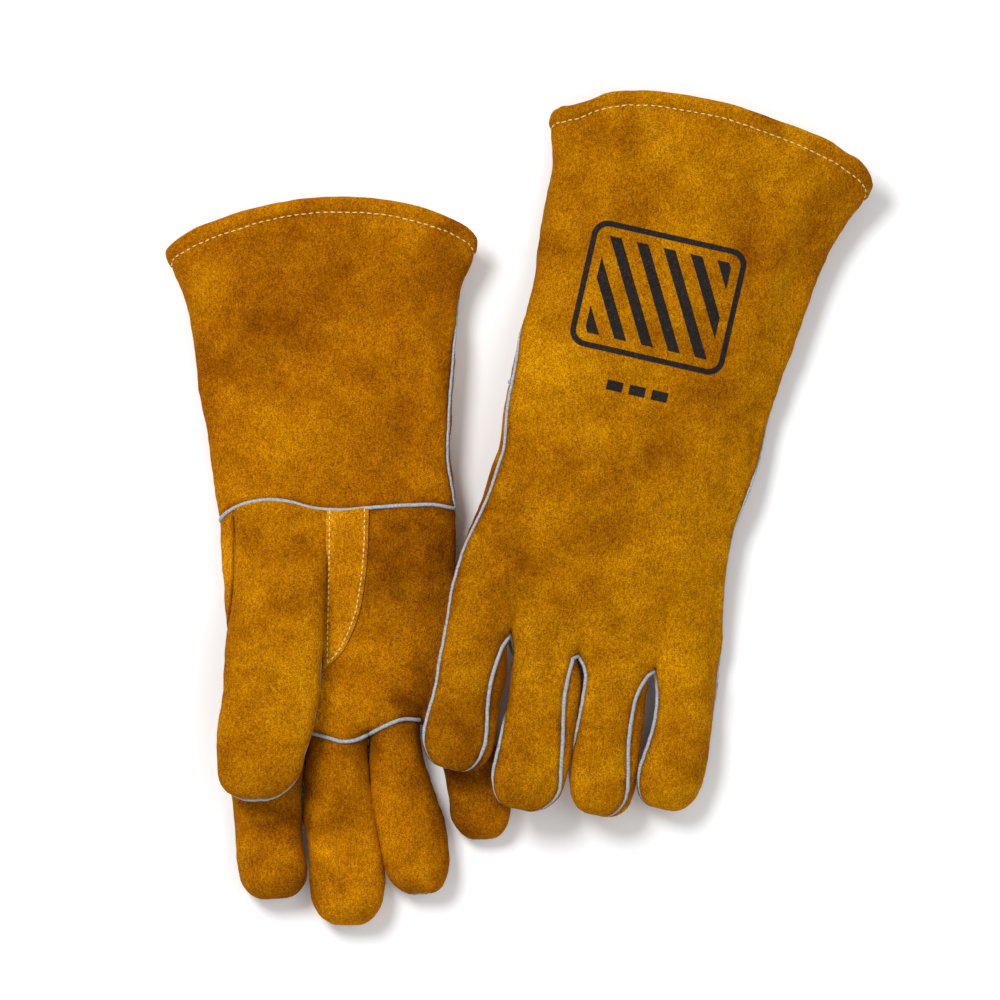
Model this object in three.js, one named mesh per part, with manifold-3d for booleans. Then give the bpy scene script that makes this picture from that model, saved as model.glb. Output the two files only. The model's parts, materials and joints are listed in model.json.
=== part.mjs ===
// A pair of gauntlet welding gloves in suede leather, lying one partly on the other.
// The right glove lies palm up, the left glove lies back up with its thumb folded under it.
// Units are millimetres, +Z is up, and the pair rests on the plane z = 0.
//
// Each glove has a frame of its own: x runs across it from the index side to the little-finger
// side, y is 0 at the middle of the cuff's mouth and falls towards the fingertips.
import * as THREE from 'three';
import { mergeVertices } from 'three/addons/utils/BufferGeometryUtils.js';
import Module from 'manifold-3d';

const wasm = await Module();
wasm.setup();

// ---------------------------------------------------------------- driving dimensions
const LEATHER = 1.9;             // thickness of the suede split
const LINING = 1.2;              // thickness of the fleece and canvas linings
const LINING_GAP = 0.8;          // between the leather and its lining
const WELT_HALF = 0.6;           // half the thickness of the welt strip in a seam
const SEAM_HALF = 1.1;           // half the space that two leather edges leave for the welt
const WELT_PROUD = 0.8;          // how far a welt stands out of its seam
const WELT_DEPTH = 1.5;          // how far a welt reaches into its seam
const SKIN_GAP = 0.5;            // between a piece and another one sewn on top of it
const STRAP_THICK = 1.5;         // thickness of the reinforcing strap
const THREAD = 0.9;              // thickness of the sewing thread
const HEM = 7;                   // from the cuff's edge to the row of hem stitches
const MOUTH_DROP = 22;           // how far the mouth's sides fall behind its middle
const CROWN = 2.6;               // exponent of the rounded cross-section, 2 being an ellipse
const TIP_SHARE = 0.26;          // width left at the very end of a finger, as a share
const WRIST_HALF = 1.6;          // half the space that the wrist welt fills
const KNUCKLE_GAP = 0.8;         // clearance between the hand and a finger that bends

// ---------------------------------------------------------------- small helpers
const mix = (a, b, t) => a + (b - a) * t;
const clamp01 = (t) => Math.min(1, Math.max(0, t));
const ease = (t) => clamp01(t) ** 2 * (3 - 2 * clamp01(t));

// A smooth curve through hand-chosen [place, value] points, as a function of place.
function profile(points) {
  const slope = points.map((point, i) => {
    const before = points[Math.max(0, i - 1)];
    const after = points[Math.min(points.length - 1, i + 1)];
    return (after[1] - before[1]) / (after[0] - before[0]);
  });
  return (place) => {
    let i = 0;
    while (i < points.length - 2 && (place - points[i + 1][0]) * (points[1][0] - points[0][0]) > 0) i += 1;
    const span = points[i + 1][0] - points[i][0];
    const t = clamp01((place - points[i][0]) / span);
    const rise = (1 + 2 * t) * (1 - t) ** 2 * points[i][1] + t * t * (3 - 2 * t) * points[i + 1][1];
    return rise + span * (t * (1 - t) ** 2 * slope[i] - t * t * (1 - t) * slope[i + 1]);
  };
}

// Height of a unit rounded section at the place u, where u runs from -1 to 1.
const crown = (u) => Math.max(0, 1 - Math.abs(u) ** CROWN) ** (1 / CROWN);

// Places across a section, closer together where it turns down at its sides.
const spread = (s) => Math.sin((s - 0.5) * Math.PI);

// ---------------------------------------------------------------- solids
// Turns the faces outwards when the mapping has left them inside out.
function outward(geometry) {
  geometry.deleteAttribute('normal');
  geometry.deleteAttribute('uv');
  const merged = mergeVertices(geometry, 1e-4);
  const place = merged.attributes.position;
  const index = merged.index.array;
  const [a, b, c] = [new THREE.Vector3(), new THREE.Vector3(), new THREE.Vector3()];
  let volume = 0;
  for (let i = 0; i < index.length; i += 3) {
    a.fromBufferAttribute(place, index[i]);
    b.fromBufferAttribute(place, index[i + 1]);
    c.fromBufferAttribute(place, index[i + 2]);
    volume += a.dot(b.cross(c));
  }
  if (volume < 0) {
    for (let i = 0; i < index.length; i += 3) [index[i], index[i + 1]] = [index[i + 1], index[i]];
  }
  return merged;
}

// Moves every vertex of a geometry by a function of its position.
function mapped(geometry, move) {
  const place = geometry.attributes.position;
  for (let i = 0; i < place.count; i += 1) {
    const [x, y, z] = move(place.getX(i), place.getY(i), place.getZ(i));
    place.setXYZ(i, x, y, z);
  }
  return outward(geometry);
}

// A curved plate between two skins: top(s, t) and base(s, t) give a point for s and t from 0 to 1.
function plate(top, base, across, along) {
  const block = new THREE.BoxGeometry(1, 1, 1, across, along, 1);
  return mapped(block, (x, y, z) => (z > 0 ? top : base)(x + 0.5, y + 0.5));
}

// A thread or cord of square section along a smooth line through the points.
function cord(points, thick, steps) {
  const half = thick / 2;
  const corners = [[-half, -half], [half, -half], [half, half], [-half, half]];
  const section = new THREE.Shape(corners.map(([x, y]) => new THREE.Vector2(x, y)));
  const path = new THREE.CatmullRomCurve3(points.map((point) => new THREE.Vector3(...point)));
  return outward(new THREE.ExtrudeGeometry(section, { steps, bevelEnabled: false, extrudePath: path }));
}

function toManifold(geometry) {
  return new wasm.Manifold(new wasm.Mesh({
    numProp: 3,
    vertProperties: new Float32Array(geometry.attributes.position.array),
    triVerts: new Uint32Array(geometry.index.array),
  }));
}

function fromManifold(solid) {
  const mesh = solid.getMesh();
  const geometry = new THREE.BufferGeometry();
  geometry.setAttribute('position', new THREE.BufferAttribute(new Float32Array(mesh.vertProperties), 3));
  geometry.setIndex(new THREE.BufferAttribute(new Uint32Array(mesh.triVerts), 1));
  return geometry;
}

// Cuts an upright rectangular hole through a plate.
function pierced(geometry, hole) {
  const block = new THREE.BoxGeometry(hole.x[1] - hole.x[0], hole.y[1] - hole.y[0], hole.z[1] - hole.z[0]);
  block.translate((hole.x[0] + hole.x[1]) / 2, (hole.y[0] + hole.y[1]) / 2, (hole.z[0] + hole.z[1]) / 2);
  return fromManifold(toManifold(geometry).subtract(toManifold(outward(block))));
}

// ---------------------------------------------------------------- the two gloves
const RIGHT = {
  name: 'right',
  at: [-95, 148],
  turn: 2.4,
  palmSide: 1,                                    // the palm faces up
  left: profile([[0, -81], [-22, -75.5], [-50, -68], [-90, -63], [-125, -58], [-155, -55.5],
    [-205, -54.5], [-256, -57]]),
  right: profile([[0, 80], [-22, 73.5], [-50, 64.5], [-100, 58.5], [-130, 56], [-155, 57],
    [-181, 56], [-214, 59], [-256, 66]]),
  thick: profile([[0, 33], [-60, 29], [-150, 25], [-256, 22]]),
  knuckles: -256,
  lean: 0,
  thumb: { base: [-31.5, -206.5], tip: [-42.5, -285.5], half: [22.5, 17.5], floor: 25.3, thick: [19, 18] },
  fingers: {
    index: { base: -38.8, tip: [-37, -335], half: [17.8, 15.5], thick: [21.5, 21] },
    middle: { base: -3.5, tip: [-1.5, -349], half: [13, 16.5], thick: [22, 21.5] },
    ring: { base: 22.6, tip: [33.2, -336], half: [9.6, 15.8], thick: [21.5, 20.5] },
    little: { base: 52.5, tip: [64.5, -311], half: [13, 14], thick: [17, 16.5] },
  },
};

const LEFT = {
  name: 'left',
  at: [92, 194.5],
  turn: -12.8,
  palmSide: -1,                                   // the palm faces down
  left: profile([[0, -80], [-22, -74.5], [-47, -69], [-80, -67.5], [-110, -65], [-150, -64],
    [-180, -63.2], [-205, -65], [-232, -69], [-271, -70.5]]),
  right: profile([[0, 92], [-22, 85], [-43, 76], [-72, 69], [-104, 65], [-140, 61], [-162, 60],
    [-193, 56], [-231, 59.5], [-271, 65.5]]),
  thick: profile([[0, 32], [-60, 28], [-150, 24], [-271, 21.5]]),
  knuckles: -271,
  lean: 0.19,                                     // slope of the hand, which leans on the other
  thumb: { base: [-24, -206.5], tip: [-22, -283], half: [20.5, 17.5], floor: 0, thick: [11.8, 11.5] },
  fingers: {
    index: { base: -55.2, tip: [-53, -338.5], half: [14.7, 15.5], thick: [21, 20] },
    middle: { base: -22, tip: [-15, -350.5], half: [14.3, 17], thick: [21, 20] },
    ring: { base: 15, tip: [19.2, -345], half: [14, 14.7], thick: [21, 20] },
    little: { base: 50, tip: [52.5, -335.5], half: [15.5, 16], thick: [21, 20] },
  },
};

// The leaning glove lies flat at its mouth and climbs towards its index side at the hand.
// The mouth of either glove curls up a little from the surface.
function lift(glove, x, y) {
  const LEAN_FROM = -60;
  const LEAN_TO = -190;
  const LEAN_EDGE = 67;
  const CURL = 4;
  const CURL_FROM = -40;
  const share = ease((y - LEAN_FROM) / (LEAN_TO - LEAN_FROM));
  return glove.lean * share * (LEAN_EDGE - x) + CURL * ease((y - CURL_FROM) / -(CURL_FROM + 5));
}

// Where the cuff ends and the palm begins, across the glove.
const wristLine = profile([[-1, -151], [-0.58, -144], [-0.2, -144.5], [0, -147], [0.45, -148.5], [1, -150]]);
const mouthLine = (u) => -MOUTH_DROP * Math.abs(u) ** CROWN;

// A point of the hand and cuff: u across, y along, side 1 for the upper half and -1 for the
// lower half, depth below the outer face. The lower half is flat where it rests.
function bodyPoint(glove, u, y, side, depth) {
  const [l, r, thick] = [glove.left(y), glove.right(y), glove.thick(y)];
  const seam = thick / 2;
  const x = (l + r) / 2 + ((r - l) / 2 - depth) * u;
  const FLATTEN = 1.2;                            // the belly is pressed flat over its middle
  let z = seam + side * (SEAM_HALF + (seam - SEAM_HALF - depth + (side < 0 ? FLATTEN : 0)) * crown(u));
  if (side < 0) z = Math.max(z, depth);
  return [x, y, z + lift(glove, x, y)];
}

// Upper or lower face of the hand at a place, used by what is sewn on it.
function faceHeight(glove, x, y, side) {
  const [l, r] = [glove.left(y), glove.right(y)];
  const u = (x - (l + r) / 2) / ((r - l) / 2);
  return bodyPoint(glove, Math.max(-1, Math.min(1, u)), y, side, 0)[2];
}

// ---------------------------------------------------------------- hand and cuff
function bodyPlate(glove, side, start, end, across, along) {
  const skin = (depth) => (s, t) => {
    const u = spread(s);
    return bodyPoint(glove, u, mix(start(u), end(u), t), side, depth);
  };
  return plate(skin(0), skin(LEATHER), across, along);
}

// The row of welt across the seam between cuff and palm, or at the finger bases.
function crossWelt(glove, side, line, from, to, half, across) {
  const skin = (depth) => (s, t) => {
    const u = spread(mix(from, to, s));
    return bodyPoint(glove, u, line(u) + mix(half, -half, t), side, depth);
  };
  return plate(skin(-WELT_PROUD), skin(LEATHER), across, 1);
}

// A welt in the side seam from the mouth to the knuckles.
function sideWelt(glove, side) {
  const edge = side < 0 ? glove.left : glove.right;
  const start = -MOUTH_DROP - 1;
  const skin = (up) => (s, t) => {
    const y = mix(start, glove.knuckles + 0.5, t);
    const x = edge(y) + side * mix(-WELT_DEPTH, WELT_PROUD, s);
    return [x, y, glove.thick(y) / 2 + up + lift(glove, x, y)];
  };
  return plate(skin(WELT_HALF), skin(-WELT_HALF), 1, 14);
}

// A thin bag inside the leather, open at both ends.
function lining(glove, start, end, steps) {
  const SEGMENTS = 8;
  const ring = new THREE.Shape().absarc(0, 0, 1, 0, Math.PI * 2);
  ring.holes.push(new THREE.Path().absarc(0, 0, 0.5, 0, Math.PI * 2));
  const tube = new THREE.ExtrudeGeometry(ring, { steps, depth: 1, bevelEnabled: false, curveSegments: SEGMENTS });
  return mapped(tube, (x, y, z) => {
    const size = Math.hypot(x, y);
    const depth = LEATHER + LINING_GAP + (size > 0.75 ? 0 : LINING);
    const u = x / size;
    const along = mix(start(u), end(u), z);
    const side = Math.abs(y) < 1e-6 ? 0 : Math.sign(y);
    const [px, py, pz] = bodyPoint(glove, u, along, side || 1, depth);
    const level = glove.thick(along) / 2 + lift(glove, px, along);
    const STEP_IN = SEAM_HALF * side;             // the bag has no seam space at its sides
    return [px, py, side ? pz - STEP_IN * (1 - crown(u)) : level];
  });
}

// The reinforcing strap beside the thumb, narrowing to a point in the palm.
function strapEdge(glove, y) {
  const STRAP_TOP = -152.5;
  const STRAP_POINT = -224;
  const shift = glove.thumb.base[0] + glove.thumb.half[0] + 3.5;
  const t = (y - STRAP_TOP) / (STRAP_POINT - STRAP_TOP);
  const leftEdge = shift + 1.5 - 3.5 * t;
  const rightEdge = leftEdge + 0.8 + 19.5 * (1 - t ** 3) ** 0.8;
  return { top: STRAP_TOP, point: STRAP_POINT, leftEdge, rightEdge };
}

function strap(glove) {
  const { top, point } = strapEdge(glove, -200);
  const skin = (up) => (s, t) => {
    const y = mix(top, point, t);
    const edge = strapEdge(glove, y);
    const x = mix(edge.leftEdge, edge.rightEdge, s);
    return [x, y, faceHeight(glove, x, y, glove.palmSide) + glove.palmSide * up];
  };
  return plate(skin(SKIN_GAP + STRAP_THICK), skin(SKIN_GAP), 3, 8);
}

// One thread down the strap's left edge, round its point and up its right edge.
function strapThread(glove) {
  const INSET = 2.2;
  const ROWS = 8;
  const { top, point } = strapEdge(glove, -200);
  const points = [];
  const add = (t, edgeName, inset) => {
    const y = mix(top - 1, point + 9, t);
    const x = strapEdge(glove, y)[edgeName] + inset;
    const up = SKIN_GAP + STRAP_THICK + SKIN_GAP + THREAD / 2;
    points.push([x, y, faceHeight(glove, x, y, glove.palmSide) + glove.palmSide * up]);
  };
  for (let i = 0; i <= ROWS; i += 1) add(i / ROWS, 'leftEdge', INSET);
  for (let i = ROWS; i >= 0; i -= 1) add(i / ROWS, 'rightEdge', -INSET);
  return cord(points, THREAD, 26);
}

// The hem's thread goes right round the mouth from the index side and back to it.
function hemThread(glove) {
  const STOPS = 22;
  const points = [];
  for (let i = 0; i <= STOPS; i += 1) {
    const angle = mix(Math.PI * 0.97, -Math.PI * 0.93, i / STOPS);
    const u = Math.cos(angle);
    const side = Math.sin(angle) >= 0 ? 1 : -1;
    const up = WELT_PROUD + SKIN_GAP + THREAD / 2;
    const [x, y, z] = bodyPoint(glove, u, mouthLine(u) - HEM, side, -up);
    points.push([x, y, z]);
  }
  return cord(points, THREAD, 44);
}

// ---------------------------------------------------------------- fingers and thumb
// A stall is the tube of a finger or the thumb. t runs from 0 at its base to 1 at its tip.
function stall(glove, spec, base) {
  const length = base[1] - spec.tip[1];
  const bend = (t, start, power) => {
    const rest = clamp01((t - start) / (1 - start));
    return Math.max(0, 1 - rest ** power) ** (1 / power);
  };
  return {
    length,
    centre: (t) => mix(base[0], spec.tip[0], t),
    half: (t) => mix(spec.half[0], spec.half[1], t) * Math.max(TIP_SHARE, bend(t, 0.76, 2.3)),
    y: (t, depth) => base[1] - t * (length - depth),
    thick: (t) => Math.max(6.4, mix(spec.thick[0], spec.thick[1], t) * bend(t, 0.72, 2.4)),
    // The underside stays down until it turns up at the tip.
    floor: (t) => (spec.floor ?? 0) + 0.5 * mix(spec.thick[0], spec.thick[1], t) * (1 - bend(t, 0.72, 2.4)) * 0.8,
    lift: (x, y) => (spec.floor === undefined ? lift(glove, x, y) : 0),
  };
}

// Places along a stall, closer together towards the tip.
const towardsTip = (t) => 1 - (1 - t) ** 1.7;

function stallPoint(tube, u, t, side, depth) {
  const seam = tube.thick(t) / 2;
  const x = tube.centre(t) + (tube.half(t) - depth) * u;
  const y = tube.y(t, depth);
  const FLATTEN = 0.9;
  const reach = seam - SEAM_HALF - depth + (side < 0 ? FLATTEN : 0);
  let z = seam + side * (SEAM_HALF + reach * crown(u));
  if (side < 0) z = Math.max(z, depth);
  return [x, y, z + tube.floor(t) + tube.lift(x, y)];
}

function stallPlate(tube, side) {
  const skin = (depth) => (s, t) => stallPoint(tube, spread(s), towardsTip(t), side, depth);
  return plate(skin(0), skin(LEATHER), 6, 7);
}

// The welt in a stall's seam: up one side, round the tip and back down the other.
function stallWelt(tube) {
  const STOPS = 8;
  const rim = [];
  for (let i = 0; i <= STOPS; i += 1) rim.push([-1, towardsTip(i / STOPS)]);
  for (let i = STOPS; i >= 0; i -= 1) rim.push([1, towardsTip(i / STOPS)]);
  const spots = rim.map(([u, t]) => {
    const x = tube.centre(t) + tube.half(t) * u;
    return { x, y: tube.y(t, 0), z: tube.thick(t) / 2 + tube.floor(t) };
  });
  const skin = (up) => (s, t) => {
    const i = Math.round(t * (spots.length - 1));
    const before = spots[Math.max(0, i - 1)];
    const after = spots[Math.min(spots.length - 1, i + 1)];
    const run = Math.hypot(after.x - before.x, after.y - before.y);
    const out = mix(-WELT_DEPTH, WELT_PROUD, s);
    const flat = i === 0 || i === spots.length - 1;
    const x = spots[i].x + (flat ? Math.sign(i - 1) * out : (out * (after.y - before.y)) / run);
    const y = spots[i].y + (flat ? 0 : (-out * (after.x - before.x)) / run);
    return [x, y, spots[i].z + up + tube.lift(x, y)];
  };
  return plate(skin(WELT_HALF), skin(-WELT_HALF), 1, spots.length - 1);
}

// The root of the thumb: an arch of leather on the palm that the thumb grows out of.
function thumbRoot(glove) {
  const { thumb, palmSide } = glove;
  const ROOT_TOP = -157;
  const ROOT_THIN = 2.7;
  const end = thumb.base[1] + KNUCKLE_GAP;
  const reach = palmSide > 0 ? thumb.floor + thumb.thick[0] : thumb.floor;
  const skin = (depth) => (s, t) => {
    const u = spread(s);
    const y = mix(ROOT_TOP, end, t);
    const x = thumb.base[0] + (thumb.half[0] - depth) * u;
    const foot = faceHeight(glove, x, y, palmSide) + palmSide * SKIN_GAP;
    const middle = faceHeight(glove, thumb.base[0], y, palmSide) + palmSide * SKIN_GAP;
    const rise = Math.max(ROOT_THIN, mix(ROOT_THIN, Math.abs(reach - middle), ease(t)));
    const z = foot + palmSide * (rise - depth) * crown(u);
    return [x, y, palmSide > 0 ? z : Math.max(z, depth)];
  };
  return plate(skin(0), skin(LEATHER), 6, 5);
}

// ---------------------------------------------------------------- materials
function suede(color) {
  return new THREE.MeshStandardMaterial({ color, roughness: 0.95, metalness: 0 });
}

const finish = {
  back: () => suede('#b9770c'),
  palm: () => suede('#a8660a'),
  strap: () => suede('#c4860f'),
  welt: () => new THREE.MeshStandardMaterial({ color: '#aab0b4', roughness: 0.7, metalness: 0 }),
  thread: () => new THREE.MeshStandardMaterial({ color: '#e6d3a0', roughness: 0.85, metalness: 0 }),
  fleece: () => new THREE.MeshStandardMaterial({ color: '#d9d2c4', roughness: 1, metalness: 0 }),
  canvas: () => new THREE.MeshStandardMaterial({ color: '#7f8792', roughness: 0.95, metalness: 0 }),
};

// ---------------------------------------------------------------- assembly
function buildGlove(glove) {
  const group = new THREE.Group();
  const add = (part, geometry, material) => {
    const mesh = new THREE.Mesh(geometry, material);
    mesh.name = `${glove.name}_${part}`;
    group.add(mesh);
  };
  const { palmSide, thumb } = glove;
  const knuckles = () => glove.knuckles + KNUCKLE_GAP;
  const WEB = 1.9;                                // strip of welt at the finger bases
  const palmEnd = () => glove.knuckles + KNUCKLE_GAP + 2 * WEB;
  const hole = {
    x: [thumb.base[0] - 13, thumb.base[0] + 13],
    y: [-200, -166],
    z: palmSide > 0 ? [15, 60] : [-40, 20],
  };
  const above = (line, by) => (u) => line(u) + by;

  add('back_panel', bodyPlate(glove, -palmSide, mouthLine, knuckles, 8, 14), finish.back());
  add('cuff_front', bodyPlate(glove, palmSide, mouthLine, above(wristLine, WRIST_HALF), 8, 7), finish.back());
  const palm = bodyPlate(glove, palmSide, above(wristLine, -WRIST_HALF), palmEnd, 8, 7);
  add('palm_panel', pierced(palm, hole), finish.palm());
  add('cuff_lining', lining(glove, above(mouthLine, -2), above(wristLine, 2), 5), finish.canvas());
  const fleece = lining(glove, above(wristLine, -1), above(knuckles, 1), 5);
  add('hand_lining', pierced(fleece, hole), finish.fleece());
  add('wrist_welt', crossWelt(glove, palmSide, wristLine, 0, 1, WRIST_HALF - 0.3, 8), finish.welt());
  const web = () => glove.knuckles + KNUCKLE_GAP + WEB;
  const [webFrom, webTo] = palmSide > 0 ? [0.4, 0.69] : [0.33, 0.67];
  add('finger_base_welt', crossWelt(glove, palmSide, web, webFrom, webTo, WEB / 2, 6), finish.welt());
  add('index_side_welt', sideWelt(glove, -1), finish.welt());
  add('little_side_welt', sideWelt(glove, 1), finish.welt());
  add('hem_stitching', hemThread(glove), finish.thread());
  add('thumb_strap', strap(glove), finish.strap());
  add('strap_stitching', strapThread(glove), finish.thread());
  add('thumb_root', thumbRoot(glove), finish.palm());

  const thumbTube = stall(glove, thumb, thumb.base);
  add('thumb_front', stallPlate(thumbTube, palmSide), finish.palm());
  add('thumb_back', stallPlate(thumbTube, -palmSide), finish.back());
  add('thumb_welt', stallWelt(thumbTube), finish.welt());

  for (const [finger, spec] of Object.entries(glove.fingers)) {
    const tube = stall(glove, spec, [spec.base, glove.knuckles]);
    add(`${finger}_back`, stallPlate(tube, -palmSide), finish.back());
    add(`${finger}_front`, stallPlate(tube, palmSide), finish.palm());
    add(`${finger}_welt`, stallWelt(tube), finish.welt());
  }
  group.position.set(glove.at[0], glove.at[1], 0);
  group.rotation.z = THREE.MathUtils.degToRad(glove.turn);
  return group;
}

// The origin is under the middle of the pair, on the surface it rests on.
const pair = new THREE.Group();
pair.add(buildGlove(RIGHT), buildGlove(LEFT));
const middle = new THREE.Box3().setFromObject(pair, true).getCenter(new THREE.Vector3());
pair.position.set(-middle.x, -middle.y, 0);

export default pair;
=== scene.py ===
import json
import math

import bpy
import numpy as np
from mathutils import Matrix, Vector, noise
from mathutils.bvhtree import BVHTree
from mathutils.kdtree import KDTree

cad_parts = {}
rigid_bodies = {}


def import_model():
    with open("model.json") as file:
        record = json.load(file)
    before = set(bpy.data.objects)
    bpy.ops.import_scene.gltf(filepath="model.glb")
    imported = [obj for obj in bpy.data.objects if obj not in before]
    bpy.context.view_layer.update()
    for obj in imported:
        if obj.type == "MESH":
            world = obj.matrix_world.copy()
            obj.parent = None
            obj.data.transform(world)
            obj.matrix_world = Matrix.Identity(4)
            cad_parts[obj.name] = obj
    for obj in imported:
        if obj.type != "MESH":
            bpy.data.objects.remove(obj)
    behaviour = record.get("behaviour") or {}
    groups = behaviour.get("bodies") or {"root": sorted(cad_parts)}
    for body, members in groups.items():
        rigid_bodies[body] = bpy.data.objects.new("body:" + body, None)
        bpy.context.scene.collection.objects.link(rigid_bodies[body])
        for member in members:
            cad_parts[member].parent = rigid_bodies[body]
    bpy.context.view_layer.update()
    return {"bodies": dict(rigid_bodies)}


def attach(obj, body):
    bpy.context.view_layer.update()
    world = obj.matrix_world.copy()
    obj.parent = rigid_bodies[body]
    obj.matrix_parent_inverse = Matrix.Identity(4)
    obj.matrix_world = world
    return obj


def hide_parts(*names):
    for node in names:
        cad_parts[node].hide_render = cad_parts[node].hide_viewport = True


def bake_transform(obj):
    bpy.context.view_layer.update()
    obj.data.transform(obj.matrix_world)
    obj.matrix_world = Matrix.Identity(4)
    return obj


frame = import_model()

# The gloves are shaped in millimetres, each in a frame of its own, as the CAD model is: x runs
# from the index side to the little-finger side, y is 0 at the cuff's mouth and falls towards
# the fingertips, z is up. "over" is the half that faces up and "under" the half that faces down.
MM = 0.001
LEATHER = 1.8                # thickness of the suede
HEM_LEATHER = 3.4            # the same, folded double at the cuff's hem
HEM = 6.8                    # from the cuff's edge to its row of stitches
SECTION = 2.45               # exponent of a rounded section, 2 being an ellipse
COLUMNS = 20                 # columns of mesh over each finger
TIP_SHARE = 0.2              # width left in a fingertip's last row
WELT_RADIUS = 0.92
SIDE_WELT_RADIUS = 0.74
WELT_SINK = 0.1              # how far a welt's middle lies under the leather's plain shape
GROOVE = 1.0                 # how deep a welted seam pulls the leather in
REST = 0.15                  # the lowest place that leather takes above the table
BEND = 26                    # a length of leather at the base of a finger, from its hinge
PUCKER = 6.3                 # the pitch of the small puckers along a seam
FINGER_LEATHER = LEATHER * 0.7   # thinner, because fingers and thumbs curve more tightly
STRAP_LEATHER = 1.3
HEM_STITCH = (3.5, 2.6, 0.66)    # pitch, length and width of a stitch
STRAP_STITCH = (2.75, 2.1, 0.75)
MOUTH_ROWS = 7               # rows at the mouth that the lining leaves free
KNUCKLE_ROWS = 12            # and rows at the knuckles
TIP_ROWS = 11                # rows of mesh round a fingertip
ROW_STEP = 1.7               # from one row to the next along a finger
TIP_SHAPE = 2.25             # exponent of a fingertip's outline, 2 being an ellipse
LIP_STEPS = 5                # steps in which the hem's folded edge rolls over
STITCH_REST = 0.9            # the lowest place of a row of stitches above the table
CUFF_ROWS, HAND_ROWS = 84, 66
THUMB_COLUMNS = 26
FILL_PRESSURE = 16.0         # of Blender's Cloth, which fills the leather
FILL_CAP = 3.5               # the furthest that the filling may move a point
FILL_FRAMES = 14
INK_EDGE = 0.3               # width over which the printed ink ends
FINGERS = ("index", "middle", "ring", "little")


# ------------------------------------------------------------------------------ curves
def curve(points):
    """A smooth function through given (place, value) points."""
    points = sorted(points)
    place = np.array([p[0] for p in points], float)
    value = np.array([p[1] for p in points], float)
    gap = np.diff(place)
    rise = np.diff(value) / gap
    slope = np.empty(len(points))
    slope[0], slope[-1] = rise[0], rise[-1]
    slope[1:-1] = (rise[:-1] * gap[1:] + rise[1:] * gap[:-1]) / (gap[1:] + gap[:-1])

    def at(x):
        x = np.clip(np.asarray(x, float), place[0], place[-1])
        i = np.clip(np.searchsorted(place, x, "right") - 1, 0, len(gap) - 1)
        t = (x - place[i]) / gap[i]
        ends = (1 + 2 * t) * (1 - t) ** 2 * value[i] + t * t * (3 - 2 * t) * value[i + 1]
        return ends + gap[i] * (t * (1 - t) ** 2 * slope[i] - t * t * (1 - t) * slope[i + 1])

    return at


def inset(points):
    """A curve of how far a seam lies inside the outline, in mm, that passes smoothly through 0."""
    root = curve([(place, math.copysign(math.sqrt(abs(value)), value)) for place, value in points])
    return lambda y: np.sign(root(y)) * root(y) ** 2


def ease(t):
    """A smooth step: 0 up to t = 0, and 1 from t = 1."""
    t = np.clip(t, 0, 1)
    return t * t * (3 - 2 * t)


def mix(a, b, t):
    return a + (b - a) * t


def unit(vectors):
    """Rows of vectors, each brought to a length of 1."""
    return vectors / np.maximum(np.linalg.norm(vectors, axis=1), 1e-9)[:, None]


# ------------------------------------------------------------------------- the two gloves
# Finger outlines run from the crotch of the fingers down to where the fingertip starts to
# round. "in_left" and "in_right" say how far a seam lies inside that outline, on the over side.
NONE = [(-400, 0), (0, 0)]
HIDDEN = [(-400, -2.4), (-268, -2.4), (-258.5, -0.6), (-256, 0)]
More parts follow.
